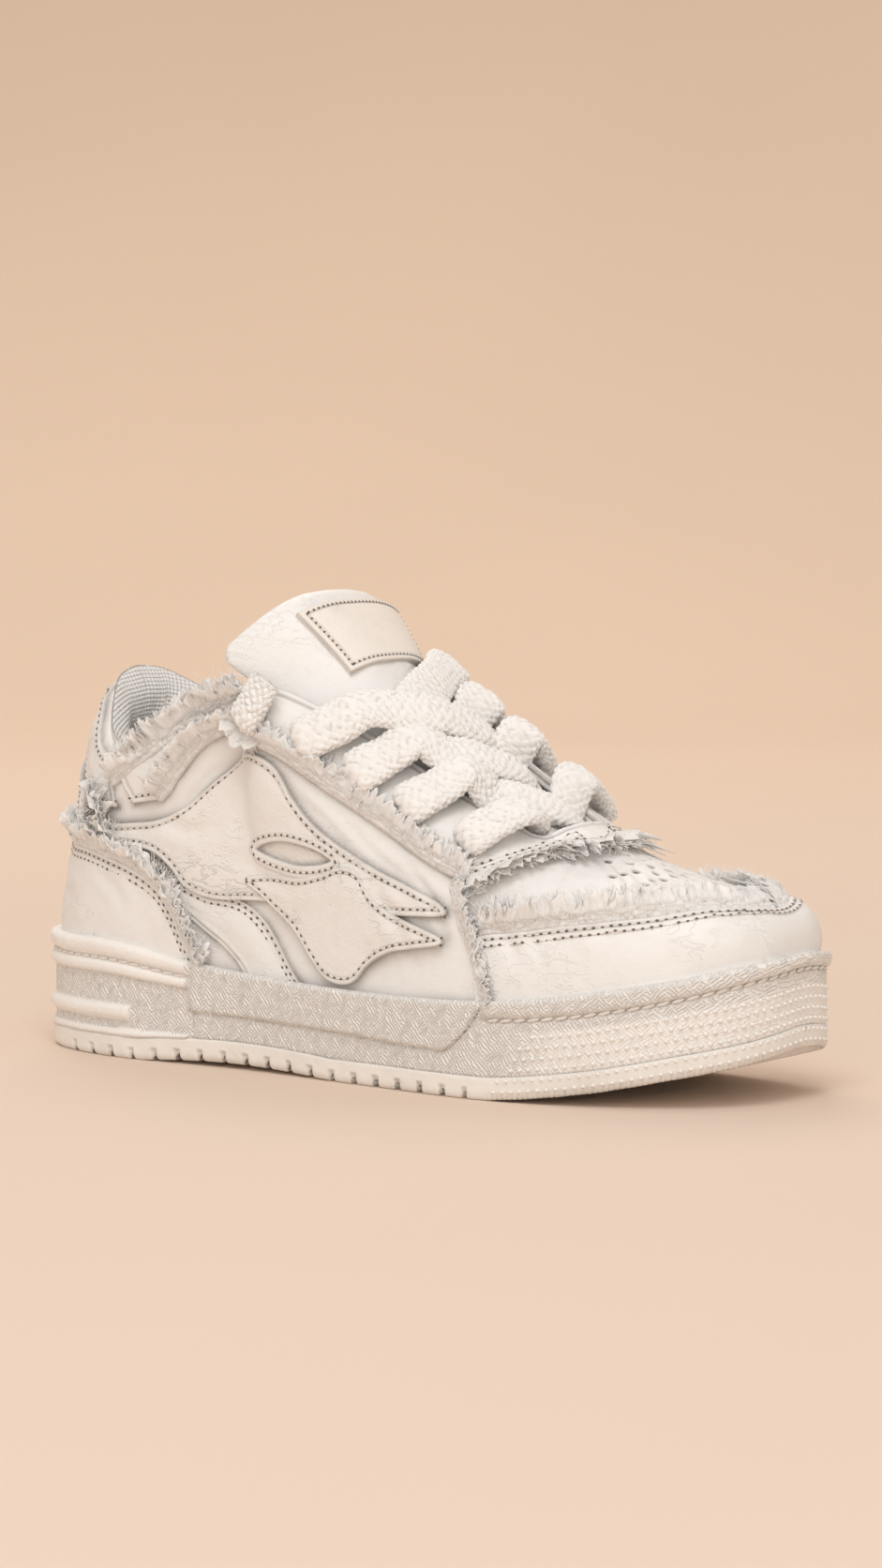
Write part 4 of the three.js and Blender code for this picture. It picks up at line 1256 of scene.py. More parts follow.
# %% Cut the panels
HOLE_WIDE = 2.3
holes = [(wall(a, b, side), HOLE_WIDE) for side in (1.0, -1.0) for a, b in zip(EYELET_U, EYELET_T)]
panel("toe_guard_leather", guard, 1.4, 0, ["toe_guard"], smooth_leather, rows=(1.6, 3.6),
      low_row=False, open_ends=False)
panel("heel_counter_leather", counter, 1.3, 0, ["heel_counter"], smooth_leather,
      rows=(1.8, 3.8), low_row=False)
panel("eyestay", stay, 1.4, 0.15, ["eyestay_outer", "eyestay_inner"], smooth_leather,
      rows=(2.0, 4.2), high_row=False, pits=holes)
for label, side in (("outer", lambda x: x), ("inner", mirrored)):
    panel("collar_band_" + label, side(collar_band), 1.1, 0.1, look=leather, rows=(2.0,))
    panel("waist_panel_" + label, side(waist_seam), 0.7, 0, look=smooth_leather,
          rows=(1.3, 3.0), low_row=False)
    eye = (0.450, 0.425, 14.0, 3.0, 0.1) if label == "outer" else (0.450, 2.575, 14.0, 3.0, -0.1)
    panel("saddle_" + label, side(saddle), 1.2, 0.5, look=suede, rows=(2.0,), step=1.0, window=eye)
    panel("leaf_" + label, side(leaf), 1.2, 1.3, look=suede, rows=(1.8,), step=0.8)
    window_lip("window_lip_" + label, eye)
    panel("rear_patch_" + label, side(rear_patch), 1.0, 0, look=smooth_leather, rows=(1.8,))
panel("heel_strip", heel_strip, 1.4, 0.9, look=smooth_leather, rows=(1.8,), open_ends=False)
print(len(BUILT), "panels,", len(FEET), "edges")

# %% Make the panels, and find what lies at the foot of a seam
def near_edges(points, reach=1.1, share=4000):
    """1 at a panel's edge, fading over `reach` mm: the distance to the closest edge point,
    worked out for a share of the points at a time to save memory."""
    marks = concatenate(FEET)
    best = np.empty(len(points))
    for start in range(0, len(points), share):
        part = points[start:start + share]
        square = (part**2).sum(1)[:, None] + (marks**2).sum(1)[None] - 2 * part @ marks.T
        best[start:start + share] = sqrt(maximum(square.min(1), 0))
    return exp(-maximum(best - 0.5, 0) / reach)


for name, points, faces, look, takes, seam in BUILT:
    meets_itself = name.startswith(("toe_guard", "heel_"))
    piece(name, points, faces, look, takes, seam=seam, weld=meets_itself)

# %% [markdown]
# ## The base upper
# Under the overlays, two quarters and a toe box make a hollow upper 1.8 mm thick. It could be
# one closed shell, but a real upper is sewn from parts, and each part can have its own leather.
# The toe box is punched with small holes that let the foot breathe. Cutting them with booleans
# would tear the grid, so each is a pit pushed into a finer part of the grid and darkened with
# painted shade.

# %% Quarters
WALL_TALL = 75  # about how tall the wall is, in mm


def split(v):
    """Where the toe box begins: behind the frayed seam, and under the eyestay further up."""
    w = minimum(v, 3 - v)
    return curve([0, 0.3, 0.5, 0.75, 1.0, 1.5], [0.637, 0.615, 0.60, 0.63, 0.684, 0.689], w)


def near_sole(v):
    """Dust and painted shade where the upper meets the cup."""
    return 0.55 * (1 - smooth(0, 0.05, minimum(v, 3 - v))).ravel()


def quarter(name, sign):
    """One side of the upper from the heel to the toe box: rows along u, columns up the wall.
    The top edge is rounded inwards, and a coarser sheet 1.8 mm beneath is the inside."""
    t = linspace(0, 1, 84)
    end = split(t) + 0.012 * (1 - smooth(0.9, 1, t)) + 0.002
    mid = skin(linspace(0, 0.66, 300), 0.4)
    p = np.interp(linspace(0, 1, 220) * lengths(mid)[-1], lengths(mid), linspace(0, 1, 300))
    u = p[:, None] * end[None, :]
    v = t if sign > 0 else 3 - t
    v = np.broadcast_to(v, u.shape)
    edge = 0.6 * (1 - smooth(0, 1.0, (1 - v if sign > 0 else v - 2) * WALL_TALL))
    outside = over(u, v, -edge)
    t_in = linspace(0, 1, 12)
    u_in = p[:, None] * np.interp(t_in, t, end)[None, :]
    v_in = np.broadcast_to(t_in if sign > 0 else 3 - t_in, u_in.shape)
    inside = over(u_in, v_in, -SKIN)
    # Dust and painted shade round the edges of the overlay panels and towards the cup.
    dark = near_edges(outside.reshape(-1, 3)) + near_sole(v)
    if sign < 0:
        outside, inside = outside[:, ::-1], inside[:, ::-1]
        dark = dark.reshape(u.shape)[:, ::-1].ravel()
    points, faces, seam = sheet_of(outside, inside, dark, 0.1)
    piece(name, points, faces, leather, seam=seam)


quarter("quarter_outer", 1)
quarter("quarter_inner", -1)

# %% Toe box with its punched holes
PUNCHED = ([(u, v) for u in (0.782, 0.832, 0.882) for v in (0.87, 1.06, 1.5)]
           + [(u, v) for u in (0.807, 0.857) for v in (0.95, 1.27)])
HOLE_ROUND, HOLE_DEEP = 1.2, 1.7


def toe_box():
    """The whole tip of the upper in one sheet, from the outer side over the ridge to the inner
    side. Rows and columns are closer together where the holes are. A hole is a pit shaped like
    a bell curve of the sixth power, so its walls are steep."""
    up = [linspace(a, b, count)[:-1] for a, b, count in
          ((0, 0.3, 12), (0.3, 0.75, 34), (0.75, 1.5, 90))]
    v = concatenate(up)
    v = concatenate([v, [1.5], 3 - v[::-1]])
    p = concatenate([linspace(0, 0.2, 14)[:-1], linspace(0.2, 0.75, 68)[:-1],
                        1 - 0.25 * (1 - linspace(0, 1, 24)) ** 1.3])
    start = split(v)
    u = 1 - (1 - start[None, :]) * (1 - p[:, None])
    u[-1] = 1
    vv = np.broadcast_to(v, u.shape)
    outside = over(u, vv)
    flat = outside.reshape(-1, 3)
    # Dust and painted shade round the overlay panels and towards the cup.
    dark = near_edges(flat) + near_sole(vv)
    dent = np.zeros(len(flat))
    for a, b in PUNCHED:
        for w in {b, 3 - b}:
            away = span(flat - over(a, w))
            dent = maximum(dent, exp(-(away / HOLE_ROUND) ** 6))
    outside = over(u, vv, -HOLE_DEEP * dent.reshape(u.shape))
    # Painted shade in the pits of the punched holes.
    dark = maximum(dark, 1.6 * dent)
    v_in = linspace(0, 3, 28)
    u_in = 1 - (1 - split(v_in)[None, :]) * (1 - p[:, None])
    u_in[-1] = 1
    inside = over(u_in, np.broadcast_to(v_in, u_in.shape), -SKIN)
    points, faces, seam = sheet_of(outside, inside, dark, 0.1)
    piece("toe_box", points, faces, smooth_leather, ["upper"], weld=True, seam=seam)


toe_box()

# %% [markdown]
# ## Tongue, label and collar lining
# These are padded. A padded piece can be blown up by a cloth simulation; here the foam is thin
# and held by seams all round, so the swollen section is written directly: a flattened oval
# whose thickness follows the foam, with soft noise for the puffs. The label is a square of thin
# leather that follows the front of the tongue. It is left bare.

# %% Tongue
HALF_TONGUE = 26


def tongue():
    """Closed sections across the tongue: s is a cosine, and the depth a power of the sine, so
    the edges are round. The last rows turn over the top as a quarter circle."""
    b = concatenate([linspace(0, 1, 100), np.ones(11)])
    turn = concatenate([np.zeros(100), linspace(0, 1, 12)[1:] * pi / 2])[:, None]
    a = linspace(0, 2 * pi, 96, endpoint=False)[None, :]
    s = cos(a) * (1 - 0.05 * (1 - cos(turn)))
    thick = curve(TONGUE_B, TONGUE["thick"], b)[:, None]
    deep = np.sign(sin(a)) * np.abs(sin(a)) ** 0.6
    front = tongue_front(b[:, None], s)
    puff = 0.6 * noise(b[:, None] * 7, s * 2.5, 21) + 0.25 * noise(b[:, None] * 19, s * 6, 22)
    to_edge = (1 - np.abs(s)) * HALF_TONGUE
    pad = puff * (deep > 0) * smooth(0, 4, to_edge)
    half = thick / 2 * cos(turn)
    crown = 3.0 * (1 - np.abs(s) ** 2.5) * smooth(0.8, 1, b)[:, None]
    rise = thick / 2 * sin(turn) - 2.2 * smooth(0.9, 1, b)[:, None] + crown
    points = (front - OUTWARD * (thick / 2)[..., None] + OUTWARD * (deep * half + pad)[..., None]
              + SLOPE * rise[..., None])
    flat, faces = ring_stack(points)
    made = piece("tongue_pad", flat, flipped(faces), smooth_leather, ["tongue"], seam=0.0)


tongue()

# %% Label
LABEL_ROW, LABEL_THICK = 1.9, 1.5


def label():
    """A stitched square of thin leather: a grid on the front of the tongue, raised by its
    thickness, with a trough one row in from its four edges."""
    b, s = linspace(0.84, 0.985, 56)[:, None], linspace(-0.84, 0.60, 73)[None, :]
    base = tongue_front(b, s)
    n = unit(np.cross(np.gradient(base, axis=0), np.gradient(base, axis=1)))
    n = n * np.sign((n * OUTWARD).sum(-1, keepdims=True))
    across, along = span(base - base[:, :1]), span(base - base[:1])
    d = minimum(minimum(across, across[:, -1:] - across),
                   minimum(along, along[-1:] - along))
    trough = groove(d, LABEL_ROW, 0.45, 0.25)
    height = LABEL_THICK * (0.75 + 0.25 * smooth(0, 0.5, d)) + trough + 0.35
    # Dust and painted shade along the row of stitches and at the cut edge.
    dark = 0.6 * exp(-((d - LABEL_ROW) / 0.45) ** 2) + 0.6 * exp(-d / 0.3)
    outside, inside = base + n * height[..., None], (base - n * 0.4)[:, ::8]
    inside = concatenate([inside, (base - n * 0.4)[:, -1:]], 1)
    if faces_in(outside, np.broadcast_to(OUTWARD, outside.shape)):
        outside, inside, dark = outside[:, ::-1], inside[:, ::-1], dark[:, ::-1]
    points, faces, seam = sheet_of(outside, inside, dark, 0.3)
    piece("label_patch", points, faces, label_leather, ["tongue_label"], seam=seam)
    i0, i1 = np.searchsorted(along[:, 0], [LABEL_ROW, along[-1, 0] - LABEL_ROW])
    j0, j1 = np.searchsorted(across[0], [LABEL_ROW, across[0, -1] - LABEL_ROW])
    top = base + n * 1.75
    i, j = slice(i0, i1), slice(j0, j1)
    for row in ((i0, j), (i1, j), (i, j0), (i, j1)):
        SEAMS.append(resample(top[row], 2.0, n[row]))


label()

# %% [markdown]
# ### Collar lining
# The collar is lined with a knitted mesh over foam, which swells into a soft roll and folds a
# little way over the top line. A tube along a curve would be round all the way; this roll is
# flat against the wall and full towards the foot, so its section is worked out point by point.

# %% Collar lining
def collar():
    """A padded roll inside the top line: the section is a closed loop from just over the edge
    down the inside, thick in the middle; it runs from one ear round the heel to the other."""
    w = linspace(-1, 1, 260)
    u = 0.385 * np.abs(w) ** 1.15
    side = np.where(w >= 0, 1.0, -1.0)
    a = linspace(0, 2 * pi, 64, endpoint=False)
    t = 0.80 + 0.235 * cos(a)
    uu, tt = np.broadcast_arrays(u[:, None], t[None, :])
    inside_t = minimum(tt, 1.0)
    v = np.where(side[:, None] > 0, inside_t, 3 - inside_t)
    normal = skin_normal(uu, v)
    base = skin(uu, v)
    rise = maximum(tt - 1.0, 0) * WALL_TALL
    swell = curve([0.56, 0.65, 0.76, 0.88, 0.97, 1.035], [0.6, 3.5, 6.0, 7.2, 6.2, 3.0], tt)
    swell *= curve([0, 0.2, 0.3, 0.385], [1, 1, 0.85, 0.35], uu)
    lump = 0.5 * noise(w[:, None] * 16, tt * 9, 31)
    lobe = sin(a)[None, :]
    deep = np.where(lobe > 0, 0.0, 1.0) * (swell + lump) * np.abs(lobe) ** 0.8
    over_edge = 1.4 * smooth(0.965, 1.01, tt)
    points = base - normal * (SKIN + 0.2 + deep - over_edge)[..., None]
    points = points + array([0, 0, 1]) * rise[..., None]
    s = lengths(skin(u, np.where(side > 0, 0.9, 2.1)))
    round_s = travelled(points, 1)
    uv = stack(np.broadcast_to(s[:, None], round_s.shape), round_s).reshape(-1, 2)
    flat, faces = ring_stack(points)
    if volume_of(flat, faces[0]) < 0:
        faces = flipped(faces)
    # Painted shade at the low edge of the roll, deep inside the shoe.
    low = 0.5 * (1 - smooth(0.56, 0.62, tt))
    made = piece("collar_padding", flat, faces, lining, ["collar_lining"], "lining_mesh", uv=uv,
                 seam=low.ravel())


collar()

# %% [markdown]
# ### A zigzag seam
# Two edges that meet without an overlap are joined by a zigzag seam, which holds both. It needs
# no new tool: it is one more row of stitches whose ends step from side to side.

# %% Zigzag seam at the waist of the quarter
def zigzag(side, count=34):
    """A line that steps about 1.7 mm to either side of the seam at every stitch."""
    places = array([(0.215, 0.515), (0.25, 0.455), (0.296, 0.365), (0.335, 0.29)])
    u = linspace(places[0, 0], places[-1, 0], count)
    v = curve(places[:, 0], places[:, 1], u)
    swing = np.where(arange(count) % 2, 1, -1)
    u, v = u + 0.0012 * swing, v + 0.022 * swing
    v = v if side > 0 else 3 - v
    SEAMS.append([over(u, v, 0.75), skin_normal(u, v)])


zigzag(1)
zigzag(-1)
print(len(SEAMS), "rows of stitches")

# %% [markdown]
# ## Laces
# Each strand leaves its eyelet, folds over the edge of the throat and slopes down the tongue,
# where the far end goes under the next strand. A bevelled Bezier curve could carry it, but it
# can't say which way the flat face looks. So a strand is a list of stations, each a place and
# a direction out of the shoe, joined by a smooth path.

# %% Stations of the laces
LACE_WIDE, LACE_THICK, EDGE_LIFT = 14.2, 4.6, 2.3
STAY_THICK = 1.4 + 0.7
CLEAR = STAY_THICK + LACE_THICK / 2 + 0.5
RISE = array([0, 0.4, 0.8])


def ahead(side):
    """How far forward of its eyelet a strand crosses the throat's edge, in u."""
    return 0.04 if side > 0 else 0.02


def over_stay(k, side, share, lift):
    """A station over the eyestay, `share` of the way from eyelet k to the throat's edge."""
    u = EYELET_U[k] + ahead(side) * share
    v = EYELET_T[k] + (1 - EYELET_T[k]) * share
    v = v if side > 0 else 3 - v
    out = unit(skin_normal(u, v) + RISE * share)
    return skin(u, v) + out * (CLEAR + EDGE_LIFT * share + lift), out


def over_tongue(b, s, lift):
    """A station on the tongue, `lift` mm higher than a lace that lies on it."""
    at = tongue_front(b, s)
    out = unit(np.cross(tongue_front(b, s - 0.02) - at, tongue_front(b + 0.01, s) - at))
    out = unit(out * np.sign((out * OUTWARD).sum()) + OUTWARD)
    return at + out * (LACE_THICK / 2 + 0.8 + lift), out


def level_with(point):
    """The place up the tongue that is level with a point of the throat, by halving."""
    low, high = 0.0, 1.0
    for _ in range(24):
        mid = (low + high) / 2
        low, high = (mid, high) if (tongue_front(mid, 0) - point) @ SLOPE < 0 else (low, mid)
    return (low + high) / 2


print("a lace lies", CLEAR, "mm above the skin")

# %% The way of each strand
OUTER_STOPS = [(0.56, 0.3, 0.8), (0.3, 0.52, 1), (0, 0.74, 1.05), (-0.4, 0.98, 1),
               (-0.75, 1.2, 0.7), (-0.97, 1.34, -0.1)]  # across, way down, share of the lift
INNER_STOPS = [(0.56, 0.24, 1), (0.3, 0.40, 0.8), (0, 0.52, 0.3), (-0.3, 0.6, -0.4)]


def crossing(k, side, lift):
    """From eyelet k over the throat's edge and down the tongue. The outer strand goes right
    across and under the next one; the inner one stops under the outer strand."""
    upper, lower = EYELET_U[k] + ahead(side), EYELET_U[k - 1] + ahead(side)

    def stop(s, share, height):
        reach = share * (1 if side > 0 else 1.2 - 0.5 * s)
        b = level_with(top_line(upper + (lower - upper) * reach, side))
        return over_tongue(b, side * s, lift * height + 2 * EDGE_LIFT * max(s, 0) ** 2)

    start = [over_stay(k, side, share, high) for share, high in ((0, 0), (0.5, 0), (1, lift * 0.3))]
    stops = OUTER_STOPS if side > 0 else INNER_STOPS
    return start + [stop(*place) for place in stops]


def toe_bar():
    """The lowest strand runs straight across, from the first eyelet to the first eyelet."""
    b = level_with(top_line(EYELET_U[0] + ahead(1), 1))
    middle = [over_tongue(b, s, lift) for s, lift in ((0.4, 0.8), (0, 0.2), (-0.4, 0.8))]
    return [over_stay(0, 1, 0, 0), over_stay(0, 1, 1, 0.3)] + middle + [
        over_stay(0, -1, 1, 0.3), over_stay(0, -1, 0, 0)]


def top_end(side):
    """The short end that leaves the top eyelet and tucks in behind the edge of the throat."""
    at, out = over_stay(4, side, 0, 0)
    at = at + out * 0.6
    edge = top_line(EYELET_U[4] + 0.012, side) + array([side * 1.8, 0, 0])
    end = edge + out * CLEAR
    return [(at, out), ((at + end) / 2 + out * 0.8, out), (end + array([0, 0, 2.5]), out)]


def through(stops, count, hole_end):
    """Smooth path through stations (Catmull-Rom, with knots at the root of the distance):
    positions, the way the flat face looks, and distances. An end that goes into an eyelet gets
    one more station below the surface."""
    at, out = (array([s[i] for s in stops]) for i in (0, 1))
    for end, wanted in ((0, hole_end[0]), (-1, hole_end[1])):
        if wanted:
            step = at[end] - at[1 if end == 0 else -2]
            dip = at[end] + unit(step) * 1.0 - out[end] * 4.6
            add = 0 if end == 0 else len(at)
            turned = unit(out[end] + unit(step) * 0.9)
            at, out = np.insert(at, add, dip, 0), np.insert(out, add, turned, 0)
    knots = concatenate([[0], np.cumsum(sqrt(span(np.diff(at, axis=0))))])
    x = linspace(0, knots[-1], 400)
    path, face = (np.stack([curve(knots, data[:, k], x) for k in range(3)], -1)
                  for data in (at, out))
    s = lengths(path)
    even = linspace(0, s[-1], count)
    pick = lambda data: np.stack([np.interp(even, s, data[:, k]) for k in range(3)], -1)
    return pick(path), unit(pick(face)), even


print("toe bar:", through(toe_bar(), 50, (True, True))[2][-1].round(), "mm long")

# %% [markdown]
# ### The braid
# A flat woolly lace is braided from two sets of yarns that cross on the slant. Modelling each
# yarn would take too many faces. From outside, a braid is a flattened tube that stands out
# where a yarn lies on top, so the tube's points are pushed out by crossing ridges.

# %% One strand of braid
YARN_STEP, YARNS, YARN_HIGH = 2.8, 10, 0.95


def yarns(s, a, seed):
    """How high the braid stands, from 0 to 1: in each diamond of the two slanting sets, the
    yarn on top is a parabola across, a little lower where it dives under the other set."""
    g = a / (2 * pi) * YARNS
    f = s[:, None] / YARN_STEP + 0.2 * noise(s[:, None] / 3, g, seed + 1)
    one, two = f + g, f - g
    first, second = (1 - (2 * (c % 1) - 1) ** 2 for c in (one, two))
    on_top = (np.floor(one) + np.floor(two)) % 2 == 0
    yarn = np.where(on_top, first * (0.55 + 0.45 * second), second * (0.55 + 0.45 * first))
    wool = 0.2 * noise(s[:, None] / 0.9, g * 1.7, seed + 2)
    return yarn, YARN_HIGH * yarn + wool - 0.35


def braid(name, stops, seed, hole_end=(True, False), takes=(), scale=1.0):
    """Cross-section: a flattened circle, with cosine and sine raised to powers under one. It
    narrows as a quarter circle towards an eyelet and thins where it is tucked under."""
    path, face, s = through(stops, 150, hole_end)
    along = unit(np.gradient(path, axis=0))
    across = unit(np.cross(along, face))
    up = np.cross(across, along)
    shape = np.ones(len(s))
    for wanted, gone in zip(hole_end, (s, s[-1] - s)):
        if wanted:
            x = clip((gone - 1.5) / 5.5, 0, 1)
            shape *= 0.42 + 0.58 * sqrt(x * (2 - x))
    flat = 1 - 0.25 * smooth(0.55, 1, s / s[-1]) * (not hole_end[1])
    a = linspace(0, 2 * pi, 54, endpoint=False)[None, :]
    uneven_x, uneven_y = 0.06 * noise(s / 9, 0 * s, seed), 0.08 * noise(s / 7, 0 * s + 5, seed)
    wide = (LACE_WIDE / 2 * scale * shape * (1 + uneven_x))[:, None]
    deep = (LACE_THICK / 2 * scale * (0.55 + 0.45 * shape) * flat * (1 + uneven_y))[:, None]
    x = np.sign(cos(a)) * np.abs(cos(a)) ** 0.85 * wide
    y = np.sign(sin(a)) * np.abs(sin(a)) ** 0.8 * deep
    yarn, lift = yarns(s, a, seed)
    rim = unit(stack(cos(a) / wide, sin(a) / deep, 0 * wide))
    x, y = x + rim[..., 0] * lift, y + rim[..., 1] * lift
    points = path[:, None] + across[:, None] * x[..., None] + up[:, None] * y[..., None]
    points, faces = ring_stack(points)
    # Painted shade where the strand dives into its eyelet, and in the gaps between the yarns.
    hole = 0.8 * (1 - smooth(0, 2.2, s))[:, None] * hole_end[0]
    dark = 0.75 * (1 - smooth(0.0, 0.32, yarn)) + hole
    if np.cross(across[80], up[80]) @ along[80] < 0:
        faces = flipped(faces)
    seam = clip(dark, 0, 1).ravel()
    piece(name, points, faces, cotton, takes, "lace_cotton", seam=seam)


print("yarns every", YARN_STEP, "mm")

# %% Lace the shoe
braid("lace_bar", toe_bar(), 41, (True, True), ["laces"], scale=0.92)
for k in (1, 2, 3):
    for side, lift, label in ((1, 5.0, "outer"), (-1, 0.6, "inner")):
        braid(f"lace_{label}_{k}", crossing(k, side, lift), 40 + 10 * k + side)
for side, label in ((1, "outer"), (-1, "inner")):
    braid(f"lace_end_{label}", top_end(side), 90 + side, takes=[f"lace_stub_{label}"], scale=0.95)
print("9 strands")

# %% [markdown]
# ## Stitches and needle holes
# A seam is a row of short threads with a needle hole between one and the next. A texture would
# do from afar; close up, the thread has to stand on the leather. Every row noted earlier is
# turned into geometry at once: a pale capsule for each stitch and a small dark one for each
# hole, which stands for the shade in it. All copies are one joined mesh, because thousands of
# separate objects would be slow.

# %% Many copies of one small shape
def copies(faces, count, size):
    """The faces of `count` copies of a shape with `size` points, numbered one after another."""
    shift = (arange(count) * size)[:, None, None]
    return [(f[None] + shift).reshape(-1, f.shape[1]) for f in faces]


def scatter(name, shape, faces, at, x, y, z, look, slot="upper_leather", **values):
    """Places `shape` (points along x, y, z in mm) in the frame of every place."""
    points = (at[:, None] + shape[None, :, 0:1] * x[:, None] + shape[None, :, 1:2] * y[:, None]
              + shape[None, :, 2:3] * z[:, None])
    piece(name, points.reshape(-1, 3), copies(faces, len(at), len(shape)), look, (), slot, **values)


def capsule(length, wide, tall, rings, sides):
    """A closed bean along x: a circle in each ring, whose radius falls to the ends as the root
    of a power."""
    a = linspace(0, 2 * pi, sides, endpoint=False)
    x = linspace(-1, 1, rings)[:, None]
    r = sqrt(1 - np.abs(x) ** 2.5 * 0.8)
    body = np.stack([x * length / 2 + 0 * a, cos(a) * r * wide / 2, sin(a) * r * tall / 2], -1)
    points, faces = ring_stack(body)
    return points, flipped(faces)


def frames(rows):
    """Middle of each step, with directions along, across and out."""
    at, along, out = [], [], []
    for line, normal in rows:
        at.append((line[1:] + line[:-1]) / 2)
        along.append(unit(np.diff(line, axis=0)))
        out.append(unit(normal[1:] + normal[:-1]))
    at, along, out = map(concatenate, (at, along, out))
    return at, along, unit(np.cross(out, along)), out


print("a capsule has", len(capsule(1, 1, 1, 4, 5)[0]), "points")

# %% Thread and holes of the upper
at, along, across, out = frames(SEAMS)
scatter("stitches", *capsule(1.75, 0.62, 0.5, 4, 5), at + out * 0.02, along, across, out, thread)
ends, outs = (concatenate([row[k] for row in SEAMS]) for k in (0, 1))
direction = concatenate([np.gradient(line, axis=0) for line, _ in SEAMS])
# A small dark capsule in each needle hole: painted shade.
scatter("needle_hole_shade", *capsule(1.0, 0.95, 0.36, 3, 5), ends + outs * 0.04, unit(direction),
        unit(np.cross(outs, direction)), outs, shade)

# %% [markdown]
# ### The bottoms of the punched holes
# The pits in the toe box are only as sharp as their grid, so a flat dark disc in each, painted
# shade, gives it a clean round outline.

# %% The dark bottoms of the punched holes: painted shade
u, v = array([(a, w) for a, b in PUNCHED for w in sorted({b, 3 - b})]).T
at, out = over(u, v, -0.8), skin_normal(u, v)
along = unit(np.cross(out, np.broadcast_to([1.0, 0.0, 0.0], out.shape)))
scatter("punched_hole_shade", *capsule(1.9, 1.9, 0.5, 4, 10), at, along, unit(np.cross(out, along)),
        out, shade)

# %% [markdown]
# ### Thread and dots of the sole
# A thick waxed thread lies in the groove of the lip and is hidden at the waist. Below it, the
# front of the toe is covered with small moulded domes against wear. Both are again one small
# shape repeated along lines round the outline.

# %% Thick thread in the groove of the cup
def sole_stitches():
    """The groove's line is cut where it is hidden; each part left is a row of stitches, set a
    little askew as a twisted thread is."""
    u, side, _ = around(900)
    z = lip_groove(u)
    line = outline(u, side, 0.95, z)
    line = concatenate([line, line[:1]])
    out = unit(outline(u, side, 0, z) - outline(u, side, 3, z))
    out = concatenate([out, out[:1]])
    keep = concatenate([(u < 0.343) | (u > 0.641), [True]])
    rows, start = [], None
    for i in range(len(keep)):
        if keep[i] and start is None:
            start = i
        if start is not None and (not keep[i] or i == len(keep) - 1):
            if i - start > 8:
                rows.append(resample(line[start:i], 4.4, out[start:i]))
            start = None
    at, along, across, away = frames(rows)
    scatter("sole_stitches", *capsule(3.9, 1.15, 1.0, 6, 8), at, unit(along + across * 0.12),
            across, away, thread, "sole_rubber")


sole_stitches()

# %% Domes round the toe
DOT_STEP = 2.9


def toe_dots():
    """Small domes in rows round the toe, every 2.9 mm, each row half a step on from the last."""
    u, side, s = around(4000)
    places, outs = [], []
    for row in range(8):
        z = floor_z(u) + 2.6 + 3.15 * row
        tall = (z - floor_z(u) - TREAD) / (rim_z(u) - floor_z(u) - TREAD)
        line = outline(u, side, 0.75, z)
        out = unit(outline(u, side, 0, z) - outline(u, side, 3, z))
        turn = (s + DOT_STEP / 2 * (row % 2)) // DOT_STEP
        first = concatenate([[True], np.diff(turn) > 0])
        first &= (u > 0.645 + 0.006 * row) & (tall < 0.6)
        places.append(line[first])
        outs.append(out[first])
    at, out = concatenate(places), concatenate(outs)
    up = np.broadcast_to([0.0, 0.0, 1.0], at.shape)
    scatter("toe_dots", *capsule(1.35, 1.25, 1.3, 4, 6), at, unit(np.cross(up, out)), up, out,
            rubber, "sole_rubber", seam=0.0, cuts=0.0)


toe_dots()

# %% [markdown]
# ## Frayed edges
# The raw edges are torn canvas, washed until it frayed. Hair particles would give the loose
# fibres, but not the matted band they stand in. So each edge gets three or four ragged ribbons
# with notches, ruffled and lying on one another, and thin three-sided hairs in tufts; for each
# side of the shoe the ribbons are joined in one mesh and the hairs in another.

# %% Lines on the skin
UP, FORE = array([0, 0.25, 1.0]), array([0, 1.0, 0.1])
ALONG, TIP_U = 0.75, 0.9995  # mm from station to station, and the last u before the tip closes


def on_skin(places, side=1, count=300):
    """u and v of a smooth line through (u, v) places."""
    places = array(places, float)
    k, x = linspace(0, 1, len(places)), linspace(0, 1, count)
    u, v = curve(k, places[:, 0], x), curve(k, places[:, 1], x)
    return u, v if side > 0 else 3 - v


def beside(line, normal, wanted):
    """In-surface direction square to the line, on the side of `wanted`."""
    away = unit(np.cross(np.gradient(line, axis=0), normal))
    return away * np.sign((away * wanted).sum())


def skin_steps(u, v, away):
    """How far u and v move for one millimetre along `away`: the slopes of the skin along u and
    v give two equations, solved at every station and then averaged over 13 of them."""
    inner = clip(u, 0.012, 0.988)
    du = (skin(inner + STEP, v) - skin(inner - STEP, v))[:, 0] / (2 * STEP)
    dv = (skin(inner, v + STEP) - skin(inner, v - STEP))[:, 0] / (2 * STEP)
    pairs = ((du, du), (du, dv), (dv, dv), (du, away), (dv, away))
    uu, uv, vv, ua, va = ((a * b).sum(1) for a, b in pairs)
    flat = uu * vv - uv**2
    even = lambda x: np.convolve(np.pad(x, 6, "edge"), np.full(13, 1 / 13), "valid")[:, None]
    return even((ua * vv - va * uv) / flat), even((va * uu - ua * uv) / flat)


print("stations every", ALONG, "mm")

# %% One ribbon of torn cloth
RIBBONS, HAIRS = [], []
ACROSS = linspace(0, 1, 8)[None, :]  # shares of a ribbon's width, from the seam outwards


def tuft_lengths(s, k, seed):
    """The torn outline: humps of a sine raised to a power, shaken by noise and a ragged comb."""
    phase = s / 4.6 + 0.9 * noise(s / 5, 0 * s + 3 * k, seed) + 0.37 * k
    humps = 0.48 + 0.56 * np.abs(sin(pi * phase)) ** 0.7
    humps = humps + 0.25 * noise(s / 7, 0 * s + 7 + k, seed)
    comb = np.random.default_rng(seed + k).uniform(0.74, 1.2, len(s))
    return (1 - 0.15 * k) * clip(humps, 0.3, 1.2) * comb


